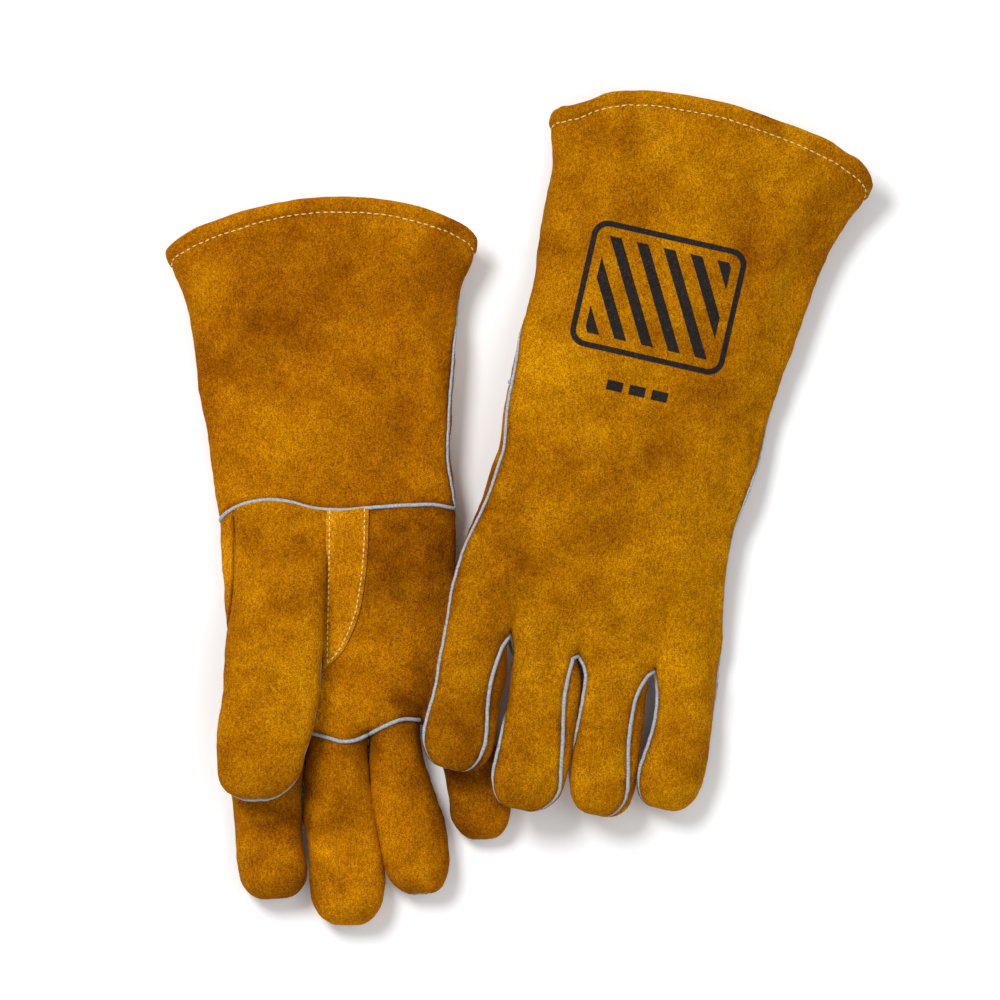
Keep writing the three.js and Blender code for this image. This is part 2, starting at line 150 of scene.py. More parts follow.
# The edge of the side piece, where it is sewn on beside the thumb.
SIDE_EDGE = [(-49.2, -149.6), (-49.3, -154), (-49.5, -160), (-49.7, -166), (-50, -172),
             (-50.4, -178), (-51, -184), (-51.8, -190), (-52.8, -196), (-53.8, -201)]
RIGHT = dict(
    name="right",
    at=(-95.1, 149.5),
    turn=2.4,
    palm="over",
    seed=3,
    # Folds of the leather on the upper side: two ends, half-width and height.
    folds=[(-42, -20, -34, -120, 7, 1.6), (-20, -28, -26, -110, 9, -1.2), (44, -18, 36, -90, 9, 1.4),
           (-30, -128, 20, -134, 9, 1.3), (20, -110, 52, -128, 8, -1.0), (-8, -236, 30, -246, 6, 1.2)],
    lean=0.0,
    knuckles=-256,
    mouth=curve([(-1, -23.6), (-0.95, -20), (-0.8, -14), (-0.55, -7), (-0.3, -1.8), (0, 1.2), (0.3, 0.2),
                 (0.55, -4.2), (0.8, -12.2), (0.95, -19.2), (1, -23)]),
    wrist=curve([(-1, -152.5), (-0.78, -147), (-0.58, -143.8), (-0.35, -142.6), (-0.18, -144), (0, -147.4),
                 (0.2, -148.9), (0.45, -148.4), (0.75, -148), (0.92, -148.6), (1, -150.5)]),
    left=curve([(-22, -76), (-30, -73), (-44, -69), (-60, -66.4), (-84, -63.6), (-102, -61.3), (-121, -58.6),
                (-141, -57), (-152, -55.4), (-172, -55.5), (-191, -55.2), (-205, -54.7), (-235, -56.3),
                (-256, -57)]),
    right=curve([(-22, 74.3), (-33, 70.6), (-43.5, 66), (-54, 63.2), (-81, 60.3), (-107, 57.6), (-128, 56.3),
                 (-146, 57.4), (-156, 57.3), (-181, 55.8), (-214, 59.7), (-243, 66), (-256, 68)]),
    thick=curve([(-256, 22), (-150, 25), (-60, 29), (0, 33)]),
    in_left=inset([(-256, -1.8), (-150, -2), (0, -2)]),
    in_right=inset([(-256, -2.2), (-170, -2.2), (-156, -0.8), (-149, 0.3), (-140, 0.7), (-120, 1),
                    (-90, 1.1), (-70, 0.5), (-50, -0.6), (0, -1)]),
    base_welt=[(-15.6, -255.4), (-8.6, -257.6), (-0.8, -259.9), (5, -259.6), (11.8, -257), (19.2, -253.5),
               (28.9, -250.5), (36, -251.2)],
    crotches=(-17.5, 11.2, 37),
    crotch_y=(-256, -258.5, -253.5),
    valley=3.6,
    tuck=6.6,
    fingers=dict(
        index=dict(
            left=[(-256, -57), (-278, -57.5), (-292, -56.2), (-307, -55.1), (-320, -53.8)],
            right=[(-256, -17.5), (-270, -20), (-285, -21.6), (-294, -22.2), (-306, -22.4), (-320, -20.6)],
            end=-318, tip=(-36.5, -335.3), thick=21.3, in_right=HIDDEN),
        middle=dict(
            left=[(-256, -17.5), (-270, -19.5), (-284, -21), (-294, -21.6), (-308, -20.6), (-321, -20),
                  (-333, -20.4)],
            right=[(-256, 11.2), (-268, 10), (-280, 11), (-300, 13.3), (-323, 15.9), (-333, 16.6)],
            end=-326, tip=(-2.4, -349.8), thick=21.8, in_left=HIDDEN, in_right=HIDDEN),
        ring=dict(
            left=[(-256, 11.2), (-270, 11.6), (-285, 11.4), (-308, 14.2), (-320, 16.2)],
            right=[(-256, 37), (-262, 37.6), (-277, 40.8), (-291, 43.6), (-307, 46.4), (-320, 47.8)],
            end=-313, tip=(33, -336.8), thick=21, in_left=HIDDEN, in_right=HIDDEN),
        little=dict(
            left=[(-256, 37), (-264, 40), (-272, 43.9), (-281, 46.4), (-293, 48.9)],
            right=[(-256, 68), (-266, 73), (-276, 76.8), (-288, 78.3), (-296, 78)],
            end=-293, tip=(64.3, -311), thick=16.8, in_left=HIDDEN),
    ),
    thumb=dict(
        left=[(-150, -48), (-170, -48.6), (-188, -50.2), (-205, -54), (-220, -55.8), (-235, -56.8),
              (-250, -59.6), (-260, -60.9), (-268, -61)],
        right=[(-150, -3.6), (-180, -5.4), (-217, -8.6), (-227, -9.6), (-239, -11.2), (-252, -14.4),
               (-263, -18), (-268, -20)],
        start=-149.5, hinge=-206, end=-265, tip=(-42.5, -285.7), floor=24.6, thick=18.6, rise=(-160, -232),
        mound=45, peek=-1.0),
    strap=dict(top=-149.5, point=-224.5,
               left=[(-149, -4.2), (-185, -6.4), (-217, -8.4), (-224.5, -8.6)],
               right=[(-149, 16.4), (-169, 15), (-184, 12.9), (-199, 9.4), (-209, 5.2), (-217.6, 0),
                      (-224.5, -7.6)]),
)
LEFT = dict(
    name="left",
    at=(91.9, 196),
    turn=-12.8,
    palm="under",
    seed=8,
    folds=[(-52, -14, -50, -120, 6, -1.7), (-40, -10, -38, -110, 7, 1.4), (50, -20, 40, -130, 9, 1.6),
           (64, -30, 50, -140, 6, -1.3), (-30, -160, 40, -172, 12, -1.5), (-50, -205, 10, -196, 10, 1.2),
           (-24, -225, -26, -262, 7, -1.1), (14, -232, 16, -262, 8, -1.0), (-46, -230, -44, -262, 7, 1.3)],
    lean=0.19,
    knuckles=-271.5,
    mouth=curve([(-1, -23), (-0.96, -20), (-0.85, -16.6), (-0.76, -13.8), (-0.7, -10.4), (-0.58, -5),
                 (-0.44, -1.6), (-0.2, 0.6), (0.1, 0.8), (0.3, -1.4), (0.55, -4.4), (0.75, -9.4),
                 (0.9, -14.4), (0.97, -19), (1, -23)]),
    wrist=curve([(-1, -152.5), (-0.58, -143.8), (-0.35, -142.6), (0, -147.4), (0.45, -148.4), (1, -150.5)]),
    left=curve([(-22, -74.2), (-32, -71.8), (-47, -69.3), (-63, -67.8), (-80, -66.4), (-94, -65),
                (-112, -63.9), (-131, -64.6), (-152, -65), (-165, -65.1), (-175, -64.4), (-184, -63.8),
                (-192, -64.4), (-206, -65.2), (-218, -66.8), (-232, -69), (-250, -70.6), (-271.5, -69.4)]),
    right=curve([(-22, 85), (-31, 81.6), (-43, 76.4), (-56, 72.2), (-72, 69.2), (-87, 67), (-104, 64.9),
                 (-118, 62.9), (-137, 61.2), (-162, 60.2), (-180, 58.6), (-193, 56.2), (-204, 55.8),
                 (-218, 56.9), (-231, 59.2), (-250, 62.6), (-271.5, 65.4)]),
    thick=curve([(-271.5, 21.5), (-150, 24), (-60, 28), (0, 32)]),
    in_left=inset([(-271, 0.8), (-230, 1.2), (-205, 2.6), (-180, 3), (-160, 1.4), (-140, 0.6), (-120, -0.8),
                   (0, -1.2)]),
    in_right=inset([(-271, -0.8), (-215, -0.5), (-181, 0.06), (-150, -0.35), (0, -0.9)]),
    base_welt=[(-37, -270.8), (-29, -272.6), (-20, -274.2), (-12, -273.4), (-4, -270.5), (6, -267.2),
               (18, -266), (26, -267.4), (32, -270.6)],
    crotches=(-38.2, -3.8, 33.7),
    crotch_y=(-269, -273, -271.5),
    valley=6.5,
    tuck=2.4,
    fingers=dict(
        index=dict(
            left=[(-271.5, -69.4), (-290, -68.6), (-301, -68), (-314, -68.5), (-326, -68.9)],
            right=[(-271.5, -38.2), (-276, -37.4), (-283, -36.2), (-290, -35.6), (-305, -34.9),
                   (-318, -33.6), (-326, -32.8)],
            end=-322, tip=(-50.5, -340), thick=20.6,
            in_right=[(-330, 4.4), (-318, 4.8), (-305, 6), (-290, 6.1), (-283, 4.8), (-276, 2), (-271.5, 0)]),
        middle=dict(
            left=[(-271.5, -38.2), (-277, -35.2), (-286, -33), (-297, -32), (-314, -31.7), (-326, -32.2),
                  (-336, -32)],
            right=[(-271.5, -3.8), (-275, -1.2), (-283, 1), (-298, 2.4), (-313, 3.5), (-328, 4), (-336, 4.2)],
            end=-334, tip=(-15.5, -352), thick=20.6,
            in_left=[(-340, 0.4), (-314, 0.1), (-304, -1.2), (-284, -1.4), (-271.5, 0)],
            in_right=[(-340, 1.5), (-328, 3.6), (-313, 5.8), (-298, 7.6), (-290, 8), (-283, 7.2),
                      (-278, 6), (-274.4, 4), (-272.4, 1.8), (-271.5, 0)]),
        ring=dict(
            left=[(-271.5, -3.8), (-276, -1), (-283, 0.7), (-301, 2.4), (-316, 3.6), (-329, 4.8)],
            right=[(-271.5, 33.7), (-276, 33.2), (-283, 33.3), (-295, 34.2), (-310, 35.2), (-322, 36.8),
                   (-329, 37.4)],
            end=-327, tip=(21.5, -346.8), thick=20.6,
            in_left=[(-335, -0.6), (-329, -0.2), (-310, 0.6), (-290, 1), (-276, 0.6), (-271.5, 0)],
            in_right=[(-335, 3), (-322, 4.8), (-310, 5.8), (-295, 6.2), (-283, 5), (-277, 3),
                      (-273.4, 1.2), (-271.5, 0)]),
        little=dict(
            left=[(-271.5, 33.7), (-276, 35.2), (-282, 37), (-292, 38.1), (-302, 38), (-313, 36.8),
                  (-322, 36.2)],
            right=[(-271.5, 65.4), (-292, 66.8), (-302, 67.3), (-312, 68.4), (-322, 69)],
            end=-319, tip=(51.5, -336.4), thick=20.6,
            in_left=[(-330, 0.6), (-300, 0.9), (-271.5, 0)]),
    ),
    thumb=dict(
        left=[(-150, -42), (-206, -44.5), (-262, -39.5)],
        right=[(-150, -6), (-206, -3.5), (-262, -4.5)],
        start=-149.5, hinge=-206, end=-264, tip=(-22, -283), floor=0, thick=11.6, rise=(-158, -200),
        mound=40, peek=0),
    strap=dict(top=-149.5, point=-224.5, left=[(-149, 1), (-185, -0.4), (-224.5, -2)],
               right=[(-149, 20.5), (-184, 18), (-209, 11), (-217.6, 6), (-224.5, -1)]),
)


def lift(glove, x, y):
    """How far a place lies off the surface below: the left glove leans on the right one, and
    both mouths curl up a little."""
    share = ease((y + 60) / -130)
    return glove["lean"] * share * (67 - x) + 4 * ease((y + 40) / 35)


def turned(glove, vectors):
    """Directions of a glove's own frame, in the shared frame."""
    turn = math.radians(glove["turn"])
    out = np.array(vectors, float)
    x, y = out[..., 0].copy(), out[..., 1].copy()
    out[..., 0] = x * math.cos(turn) - y * math.sin(turn)
    out[..., 1] = x * math.sin(turn) + y * math.cos(turn)
    return out


def to_frame(glove, points):
    """Points of a glove's own frame, in the shared frame and in metres."""
    out = turned(glove, points)
    out[..., :2] += glove["at"]
    return out * MM


# ---------------------------------------------------------------------------- sections
def crown(u):
    """The height of a rounded section of half-width and half-height 1, at u."""
    return np.maximum(0, 1 - np.abs(u) ** SECTION) ** (1 / SECTION)


def section(q):
    """A unit rounded section: q runs 0 to 2 over it from left to right, and 2 to 4 back under."""
    q = np.mod(q, 4)
    over = q <= 2
    u = np.sin(np.where(over, q - 1, 3 - q) * math.pi / 2)
    return u, np.where(over, 1, -1) * crown(u)


def seam_share(inset, half):
    """How far round the section a seam lies that is inset mm inside the outline, over the
    section where inset is positive and under it where it is negative."""
    share = 2 / math.pi * np.arccos(np.clip(1 - np.abs(inset) / np.maximum(half, 1e-6), -1, 1))
    return np.sign(inset) * share


def height(thick, v, full=1.0):
    """The height of a place in a section: round above, and flattened where it rests."""
    below = thick / 2 + 1
    return np.maximum(thick / 2 + np.where(v > 0, thick / 2, below) * v * full, REST)


def around(fraction, side, in_left, in_right, half):
    """The place q of a column, with fraction 0 at the left seam and 1 at the right one."""
    left, right = seam_share(in_left, half), seam_share(in_right, half)
    if side == "over":
        return mix(left, 2 - right, fraction)
    return mix(4 + left, 2 - right, fraction)


def column_places():
    """For each column over the hand: its finger, and its place across that finger from 0 to 1."""
    finger = np.repeat(np.arange(4), COLUMNS)
    place = np.tile(np.arange(COLUMNS) / COLUMNS, 4)
    return np.append(finger, 3), np.append(place, 1.0)


def body_net(glove, side):
    """The hand and cuff's half as rows of points, from the mouth past the wrist to the knuckles.
    The first CUFF_ROWS + 1 rows are the cuff's."""
    finger, place = column_places()
    knuckles = glove["knuckles"]
    l, r = glove["left"](knuckles), glove["right"](knuckles)
    edges = np.array([l, *glove["crotches"], r])
    turn = 1 + 2 / math.pi * np.arcsin(np.clip((edges - (l + r) / 2) / ((r - l) / 2), -1, 1))
    fraction = (turn[finger] * (1 - place) + turn[finger + 1] * place) / 2
    nominal = np.sin((2 * fraction - 1) * math.pi / 2)
    mouth, wrist = glove["mouth"](nominal) - HEM_LEATHER / 2, glove["wrist"](nominal)
    cuff = mix(mouth, wrist, np.linspace(0, 1, CUFF_ROWS + 1)[:, None])
    line = np.array([knuckles, *glove["crotch_y"], knuckles])
    last = line[finger] * (1 - place) + line[finger + 1] * place
    hand = mix(wrist, last, np.linspace(0, 1, HAND_ROWS + 1)[1:, None])
    y = np.vstack([cuff, hand])
    l, r, thick = glove["left"](y), glove["right"](y), glove["thick"](y)
    half = (r - l) / 2
    q = around(fraction, side, glove["in_left"](y), glove["in_right"](y), half)
    u, v = section(q)
    x = (l + r) / 2 + half * u
    # Towards the knuckles the one wide section turns into four, one for each finger.
    uf, vf = section(around(place, side, 0.0, 0.0, 1.0))
    el, er = edges[finger], edges[finger + 1]
    outer_left = (finger == 0) & (place < 0.5)
    outer_right = (finger == 3) & (place >= 0.5)
    keep = np.where(outer_left | outer_right, np.abs(2 * place - 1) ** 2, 0)
    near = last - y
    widen = ease(1 + near / 45)
    dip = np.exp(-np.abs(near / glove["valley"]) ** 1.1)
    x = mix(x, (el + er) / 2 + (er - el) / 2 * uf, widen * (1 - keep))
    v = mix(v, vf, dip * (1 - keep))
    return np.stack([x, y, height(thick, v) + lift(glove, x, y)], -1)


def tube_rows(spec, base, side, columns):
    """Rows of a finger or thumb, from its base to its tip: x, y, the place v in the section's
    height, and the share of the thickness that is left."""
    count = max(2, int(round((base - spec["end"]) / ROW_STEP)))
    straight = np.linspace(base, spec["end"], count + 1)
    last = (1 - TIP_SHARE ** TIP_SHAPE) ** (1 / TIP_SHAPE)
    angle = np.linspace(0, math.asin(last), TIP_ROWS + 1)[1:]
    share = np.sin(angle)
    y = np.append(straight, spec["end"] + (spec["tip"][1] - spec["end"]) * share / last)
    left, right = curve(spec["left"])(y), curve(spec["right"])(y)
    centre, half = (left + right) / 2, (right - left) / 2
    along = np.append(np.zeros(len(straight)), share / last)
    narrow = np.append(np.ones(len(straight)), (1 - share ** TIP_SHAPE) ** (1 / TIP_SHAPE))
    end = len(straight) - 1
    drift = (centre[end] - centre[end - 2]) / (y[end] - y[end - 2])
    kept = centre[end] + drift * (y - y[end]) * 0.5
    centre = np.where(along > 0, mix(kept, spec["tip"][0], along ** 1.5), centre)
    half = np.where(along > 0, half[end] * narrow, half)
    full = np.maximum(0, 1 - along ** 2.3) ** (1 / 2.3)
    in_left = inset(spec.get("in_left", NONE))(y) * full
    in_right = inset(spec.get("in_right", NONE))(y) * full
    fraction = np.arange(columns + 1) / columns
    q = around(fraction[None, :], side, in_left[:, None], in_right[:, None], half[:, None])
    u, v = section(q)
    x = centre[:, None] + half[:, None] * u
    return x, np.broadcast_to(y[:, None], x.shape), v, full[:, None]


def finger_net(glove, name, side, base_row):
    """A finger's half as rows of points, which start on the hand's last row."""
    spec = dict(glove["fingers"][name])
    knuckles = glove["knuckles"]
    order = FINGERS.index(name)
    # The seams of the outer fingers go on from those of the hand.
    if order == 0:
        tip = -1.8 if glove["palm"] == "over" else 0.8
        spec["in_left"] = [(-400, tip), (knuckles, float(glove["in_left"](knuckles)))]
    if order == 3:
        spec["in_right"] = [(-400, -1.4), (knuckles, float(glove["in_right"](knuckles)))]
    x, y, v, full = tube_rows(spec, knuckles, side, COLUMNS)
    own = ease((knuckles - y) / 16)
    thick = mix(glove["thick"](knuckles), spec["thick"], own)
    z = height(thick, v, full)
    # The seam round the tip is tucked under, out of sight.
    tuck = ease((1 - full) / 0.8) * (1 - full)
    y, z = y + 0.7 * tuck, z - glove["tuck"] * tuck
    points = np.stack([x, y, np.maximum(z, REST) + lift(glove, x, y)], -1)
    own_row = base_row[order * COLUMNS:(order + 1) * COLUMNS + 1]
    return points + (own_row - points[0]) * (1 - own)[..., None]


# -------------------------------------------------------------------------- joined nets
class Skin:
    """Several nets of points sewn into one surface, so that they move and shade as one."""

    def __init__(self):
        self.names, self.nets, self.flip = [], [], []
        self.away = self.golden_and_lit = None

    def add(self, name, net, flip):
        self.names.append(name)
        self.nets.append(net)
        self.flip.append(flip)

    def sew(self):
        everything = np.vstack([net.reshape(-1, 3) for net in self.nets])
        key = np.round(everything * 500).astype(np.int64)
        _, first, inverse = np.unique(key, axis=0, return_index=True, return_inverse=True)
        self.points = everything[first]
        inverse = inverse.reshape(-1)
        self.index, start = {}, 0
        faces = []
        for name, net, flip in zip(self.names, self.nets, self.flip):
            size = net.shape[0] * net.shape[1]
            grid = inverse[start:start + size].reshape(net.shape[:2])
            self.index[name] = grid
            start += size
            faces.append(quads(grid, flip))
        self.faces = np.vstack(faces)
        self.turn()

    def turn(self):
        """Works out a normal at each point."""
        p, f = self.points, self.faces
        cross = np.cross(p[f[:, 2]] - p[f[:, 0]], p[f[:, 3]] - p[f[:, 1]])
        normal = np.zeros_like(p)
        for k in range(4):
            np.add.at(normal, f[:, k], cross)
        self.normals = unit(normal)

    def rest(self):
        """Nothing sinks into the table."""
        self.points[:, 2] = np.maximum(self.points[:, 2], REST)

    def neighbours(self):
        f = self.faces
        pairs = np.vstack([f[:, [0, 1]], f[:, [1, 2]], f[:, [2, 3]], f[:, [3, 0]]])
        pairs = np.unique(np.sort(pairs, axis=1), axis=0)
        return pairs[pairs[:, 0] != pairs[:, 1]]

    def relax(self, weight, rounds):
        """Evens the surface out where weight says, by moving points towards their neighbours."""
        a, b = self.neighbours().T
        count = np.bincount(np.append(a, b), minlength=len(self.points))[:, None]
        for _ in range(rounds):
            total = np.zeros_like(self.points)
            np.add.at(total, a, self.points[b])
            np.add.at(total, b, self.points[a])
            mean = total / np.maximum(count, 1)
            self.points = mix(self.points, mean, weight[:, None] * 0.5)
        self.turn()


def quads(grid, flip):
    a, b, c, d = grid[:-1, :-1], grid[1:, :-1], grid[1:, 1:], grid[:-1, 1:]
    order = (a, d, c, b) if flip else (a, b, c, d)
    return np.stack([corner.reshape(-1) for corner in order], -1)


def bumps(points, size, seed, octaves=3):
    """Smooth noise of about unit height at each point, with features of the given size in mm."""
    offset = Vector((seed * 17.3, seed * -9.1, seed * 5.7))
    return np.array([noise.fractal(Vector(p) / size + offset, 1.0, 2.0, octaves) for p in points.tolist()])


# ----------------------------------------------------------------------------- pieces
def new_object(name, verts, faces, material, corner_normals=None):
    mesh = bpy.data.meshes.new(name)
    mesh.from_pydata(np.asarray(verts).tolist(), [], [list(map(int, face)) for face in faces])
    mesh.materials.append(material)
    mesh.polygons.foreach_set("use_smooth", [True] * len(mesh.polygons))
    if corner_normals is not None:
        mesh.normals_split_custom_set(corner_normals.tolist())
    obj = bpy.data.objects.new(name, mesh)
    bpy.context.collection.objects.link(obj)
    return obj


def closed(outer, normal, depth, flip, lip):
    """A net of points as a closed solid of the given depth: points, faces and a normal for each
    face's corner. With lip, its first row is a folded edge that rolls over to the inside."""
    rows, columns = outer.shape[:2]
    inner = outer - normal * np.broadcast_to(depth, (rows, columns))[..., None]
    layers = [outer.reshape(-1, 3), inner.reshape(-1, 3)]
    top = np.arange(rows * columns).reshape(rows, columns)
    low = top + rows * columns
    faces = [quads(top, flip), quads(low, not flip)]
    smooth = [normal.reshape(-1, 3), -normal.reshape(-1, 3)]
    edge = top[0]
    count = 2 * rows * columns
    out = unit(outer[0] - outer[1])
    half = (outer[0] - inner[0]) / 2
    radius = np.linalg.norm(half, axis=1)[:, None]
    for k in range(1, LIP_STEPS if lip else 1):
        angle = math.pi * k / LIP_STEPS
        ring = (outer[0] + inner[0]) / 2 + half * math.cos(angle) + out * radius * math.sin(angle)
        layers.append(ring)
        smooth.append(half / radius * math.cos(angle) + out * math.sin(angle))
        ids = np.arange(count, count + columns)
        faces.append(quads(np.stack([ids, edge]), flip))
        edge, count = ids, count + columns
    faces.append(quads(np.stack([low[0], edge]), flip))
    rounded = sum(len(f) for f in faces)
    faces.append(quads(np.stack([top[-1], low[-1]]), flip))
    faces.append(quads(np.stack([top[:, 0], low[:, 0]], 1), not flip))
    faces.append(quads(np.stack([low[:, -1], top[:, -1]], 1), not flip))
    verts, faces, smooth = np.vstack(layers), np.vstack(faces), np.vstack(smooth)
    corner = smooth[faces]
    # The cut edges at the sides and at the end stay flat.
    cut = faces[rounded:]
    flat = unit(np.cross(verts[cut[:, 2]] - verts[cut[:, 0]], verts[cut[:, 3]] - verts[cut[:, 1]]))
    corner[rounded:] = flat[:, None, :]
    return verts, faces, corner.reshape(-1, 3)


def leather_piece(glove, skin, name, material, depth, lip=False, ending="suede"):
    """A net of the skin as leather with its real thickness."""
    grid = skin.index[name]
    flip = skin.flip[skin.names.index(name)]
    verts, faces, corner = closed(skin.points[grid], skin.normals[grid], depth, flip, lip)
    obj = new_object(f"{glove['name']}_{name}_{ending}", to_frame(glove, verts), faces, material,
                     turned(glove, corner))
    first_row = grid.shape[1]
    # The distance that sets the painted shade beside the seams, and the mix of gold-toned suede and painted
    # light.
    for label, source in (("shade_distance", skin.away), ("golden_and_lit", skin.golden_and_lit)):
        if source is None:
            source = np.full(len(skin.points), 9.0)
        value = source[grid].reshape(-1)
        rolled = np.resize(value[:first_row], len(verts) - 2 * len(value))
        layer = obj.data.attributes.new(label, "FLOAT", "POINT")
        layer.data.foreach_set("value", np.concatenate([value, value, rolled]).astype(np.float32))
    return obj


def tube_faces(rings, flip):
    """Faces of a closed tube, from its rings of point numbers. Its two ends are one face each."""
    faces = quads(np.hstack([rings, rings[:, :1]]), flip).tolist()
    step = 1 if flip else -1
    return faces + [rings[0, ::step].tolist(), rings[-1, ::-step].tolist()]


def tube_mesh(path, radius, sides=10):
    """A closed round tube along the points of a path."""
    path = np.asarray(path, float)
    along = unit(np.gradient(path, axis=0))
    across = unit(np.cross(along, (0, 0, 1.0)))
    rise = np.cross(across, along)
    angle = np.arange(sides) / sides * 2 * math.pi
    radius = np.broadcast_to(radius, len(path))[:, None, None]
    ring = across[:, None] * np.cos(angle)[None, :, None] + rise[:, None] * np.sin(angle)[None, :, None]
    verts = (path[:, None, :] + ring * radius).reshape(-1, 3)
    faces = tube_faces(np.arange(len(path) * sides).reshape(len(path), sides), True)
    return verts, faces


def walk(points, normals, pitch):
    """Even steps along a line of points: the places, directions and normals there."""
    length = lengths(points)
    stops = np.arange(0, length[-1], pitch)

    def at(stops, rows):
        return np.stack([np.interp(stops, length, rows[:, k]) for k in range(3)], -1)

    along = unit(at(stops + 0.5, points) - at(stops - 0.5, points))
    normal = at(stops, normals)
    normal -= along * (normal * along).sum(1)[:, None]
    return at(stops, points), along, unit(normal)


def stitch_mesh(places, along, normal, length, width, seed):
    """A row of separate stitches: short rounded bars whose ends dive into the leather."""
    RINGS, SIDES = 7, 6
    random = np.random.default_rng(seed)
    s = np.linspace(-1, 1, RINGS)
    angle = np.arange(SIDES) / SIDES * 2 * math.pi
    verts, faces = [], []
    for place, t, n in zip(places, along, normal):
        sway = random.uniform(-0.09, 0.09)
        side = np.cross(n, t)
        t = t + side * sway
        size = random.uniform(0.92, 1.08)
        thick = width / 2 * np.maximum(0.25, (1 - np.abs(s) ** 3.2)) * size
        height = width * 0.28 * (1 - 1.9 * np.abs(s) ** 3)
        centre = place + t * (s * length / 2 * size)[:, None] + n * height[:, None]
        ring = (side * np.cos(angle)[:, None] + n * np.sin(angle)[:, None])[None]
        base = sum(len(v) for v in verts)
        verts.append((centre[:, None, :] + ring * thick[:, None, None]).reshape(-1, 3))
        faces += tube_faces(base + np.arange(RINGS * SIDES).reshape(RINGS, SIDES), False)
    return np.vstack(verts), faces


# ---------------------------------------------------------------------------- materials
class Nodes:
    """Short calls for building a node tree."""

    def __init__(self, name):
        self.material = bpy.data.materials.new(name)
        self.material.use_nodes = True
        self.tree = self.material.node_tree
        self.shader = self.tree.nodes["Principled BSDF"]
        self.coords = self.tree.nodes.new("ShaderNodeTexCoord").outputs["Object"]

    def put(self, socket, value):
        """Gives a socket its value: a number, a vector, a colour, or another node's output."""
        if isinstance(value, bpy.types.NodeSocket):
            self.tree.links.new(value, socket)
        else:
            socket.default_value = (*value, 1) if socket.type == "RGBA" else value

    def set(self, node, **values):
        """Sets sockets by name. An underscore stands for a space in a socket's name."""
        for name, value in values.items():
            self.put(node.inputs[name.replace("_", " ")], value)
        return node

    def new(self, kind, **values):
        return self.set(self.tree.nodes.new(f"ShaderNode{kind}"), **values)

    def mapping(self, **values):
        return self.new("Mapping", Vector=self.coords, **values).outputs["Vector"]

    def noise(self, scale, detail, roughness, stretch=None, distortion=0.0):
        vector = self.mapping(Scale=stretch) if stretch else self.coords
        node = self.new("TexNoise", Vector=vector, Scale=scale, Detail=detail, Roughness=roughness,
                        Distortion=distortion)
        return node.outputs["Fac"]

    def ramp(self, value, *stops):
        node = self.new("ValToRGB", Fac=value)
        elements = node.color_ramp.elements
        while len(elements) < len(stops):
            elements.new(0.5)
        for element, (place, color) in zip(elements, stops):
            element.position = place
            element.color = (*color, 1)
        return node.outputs["Color"]

    def blend(self, kind, factor, a, b):
        node = self.new("Mix")
        node.data_type = "RGBA"
        node.blend_type = kind
        for place, value in ((0, factor), (6, a), (7, b)):
            self.put(node.inputs[place], value)
        return node.outputs[2]

    def math(self, kind, *values, clamp=False):
        node = self.new("Math")
        node.operation = kind
        node.use_clamp = clamp
        for socket, value in zip(node.inputs, values):
            self.put(socket, value)
        return node.outputs[0]

    def attribute(self, name):
        node = self.new("Attribute")
        node.attribute_name = name
        return node.outputs["Fac"]

    def bump(self, height, strength, distance, **under):
        node = self.new("Bump", Height=height, Strength=strength, Distance=distance, **under)
        return node.outputs["Normal"]


def srgb(*values):
    """A colour given in everyday 0 to 255 values, as Blender's linear values."""
    return tuple(((v / 255 + 0.055) / 1.055) ** 2.4 if v > 10 else v / 255 / 12.92 for v in values)


def suede(name, dull, golden_and_lit=None, printed=None):
    """Split suede from (light, main, dark) colours, or a mix of two such sets by a value of the mesh's
    own, which holds gold-toned suede together with painted light and shade."""
    n = Nodes(name)
    wide = n.noise(17, 3, 0.55, distortion=0.6)
    patches = n.noise(62, 4, 0.55, distortion=0.4)
    nap = n.noise(1750, 2, 0.6)
    fibre = n.noise(900, 2, 0.6, stretch=(1.0, 0.5, 1.0), distortion=0.6)

    def mottle(light, main, dark):
        broad = n.ramp(wide, (0.33, dark), (0.5, main), (0.66, light))
        close = n.ramp(patches, (0.3, dark), (0.5, main), (0.7, light))
        return n.blend("MIX", 0.45, broad, close)

    colour = mottle(*dull)
    if golden_and_lit:
        # The lighter set where the suede is gold-toned and where light is painted, the dull set where shade
        # is painted.
        colour = n.blend("MIX", n.attribute("golden_and_lit"), colour, mottle(*golden_and_lit))
    # Single fibres show from orange-brown to gold.
    grain = n.blend("MIX", 0.35, nap, fibre)
    speckle = n.ramp(grain, (0.37, (0.53, 0.42, 0.34)), (0.5, (0.97, 0.96, 0.95)),
                     (0.622, (1.52, 1.65, 1.55)))
    colour = n.blend("MULTIPLY", 1.0, colour, speckle)
    # Painted shade: the suede is darker right beside its seams, in their grooves, and in the shadow that
    # tint() paints.
    seam = n.math("MULTIPLY_ADD", patches, 3.0, n.attribute("shade_distance"))
    seam_shade = n.ramp(n.math("DIVIDE", seam, 7.0), (0.2, (0.5, 0.42, 0.36)), (0.75, (1, 1, 1)))
    colour = n.blend("MULTIPLY", 0.9, colour, seam_shade)
    if printed:
        ink = printed(n)
        broken = n.ramp(nap, (0.36, (0.7, 0.7, 0.7)), (0.44, (1, 1, 1)))
        dark_ink = n.ramp(grain, (0.35, srgb(17, 20, 22)), (0.7, srgb(40, 44, 46)))
        colour = n.blend("MIX", n.math("MULTIPLY", ink, broken), colour, dark_ink)
    relief = n.bump(patches, 0.5, 0.0015)
    relief = n.bump(fibre, 0.6, 0.0006, Normal=relief)
    relief = n.bump(nap, 0.7, 0.0004, Normal=relief)
    n.set(n.shader, Base_Color=colour, Roughness=1.0, Specular_IOR_Level=0.03, Sheen_Weight=0.08,
          Sheen_Roughness=0.45, Sheen_Tint=srgb(255, 170, 40), Normal=relief)
    return n.material


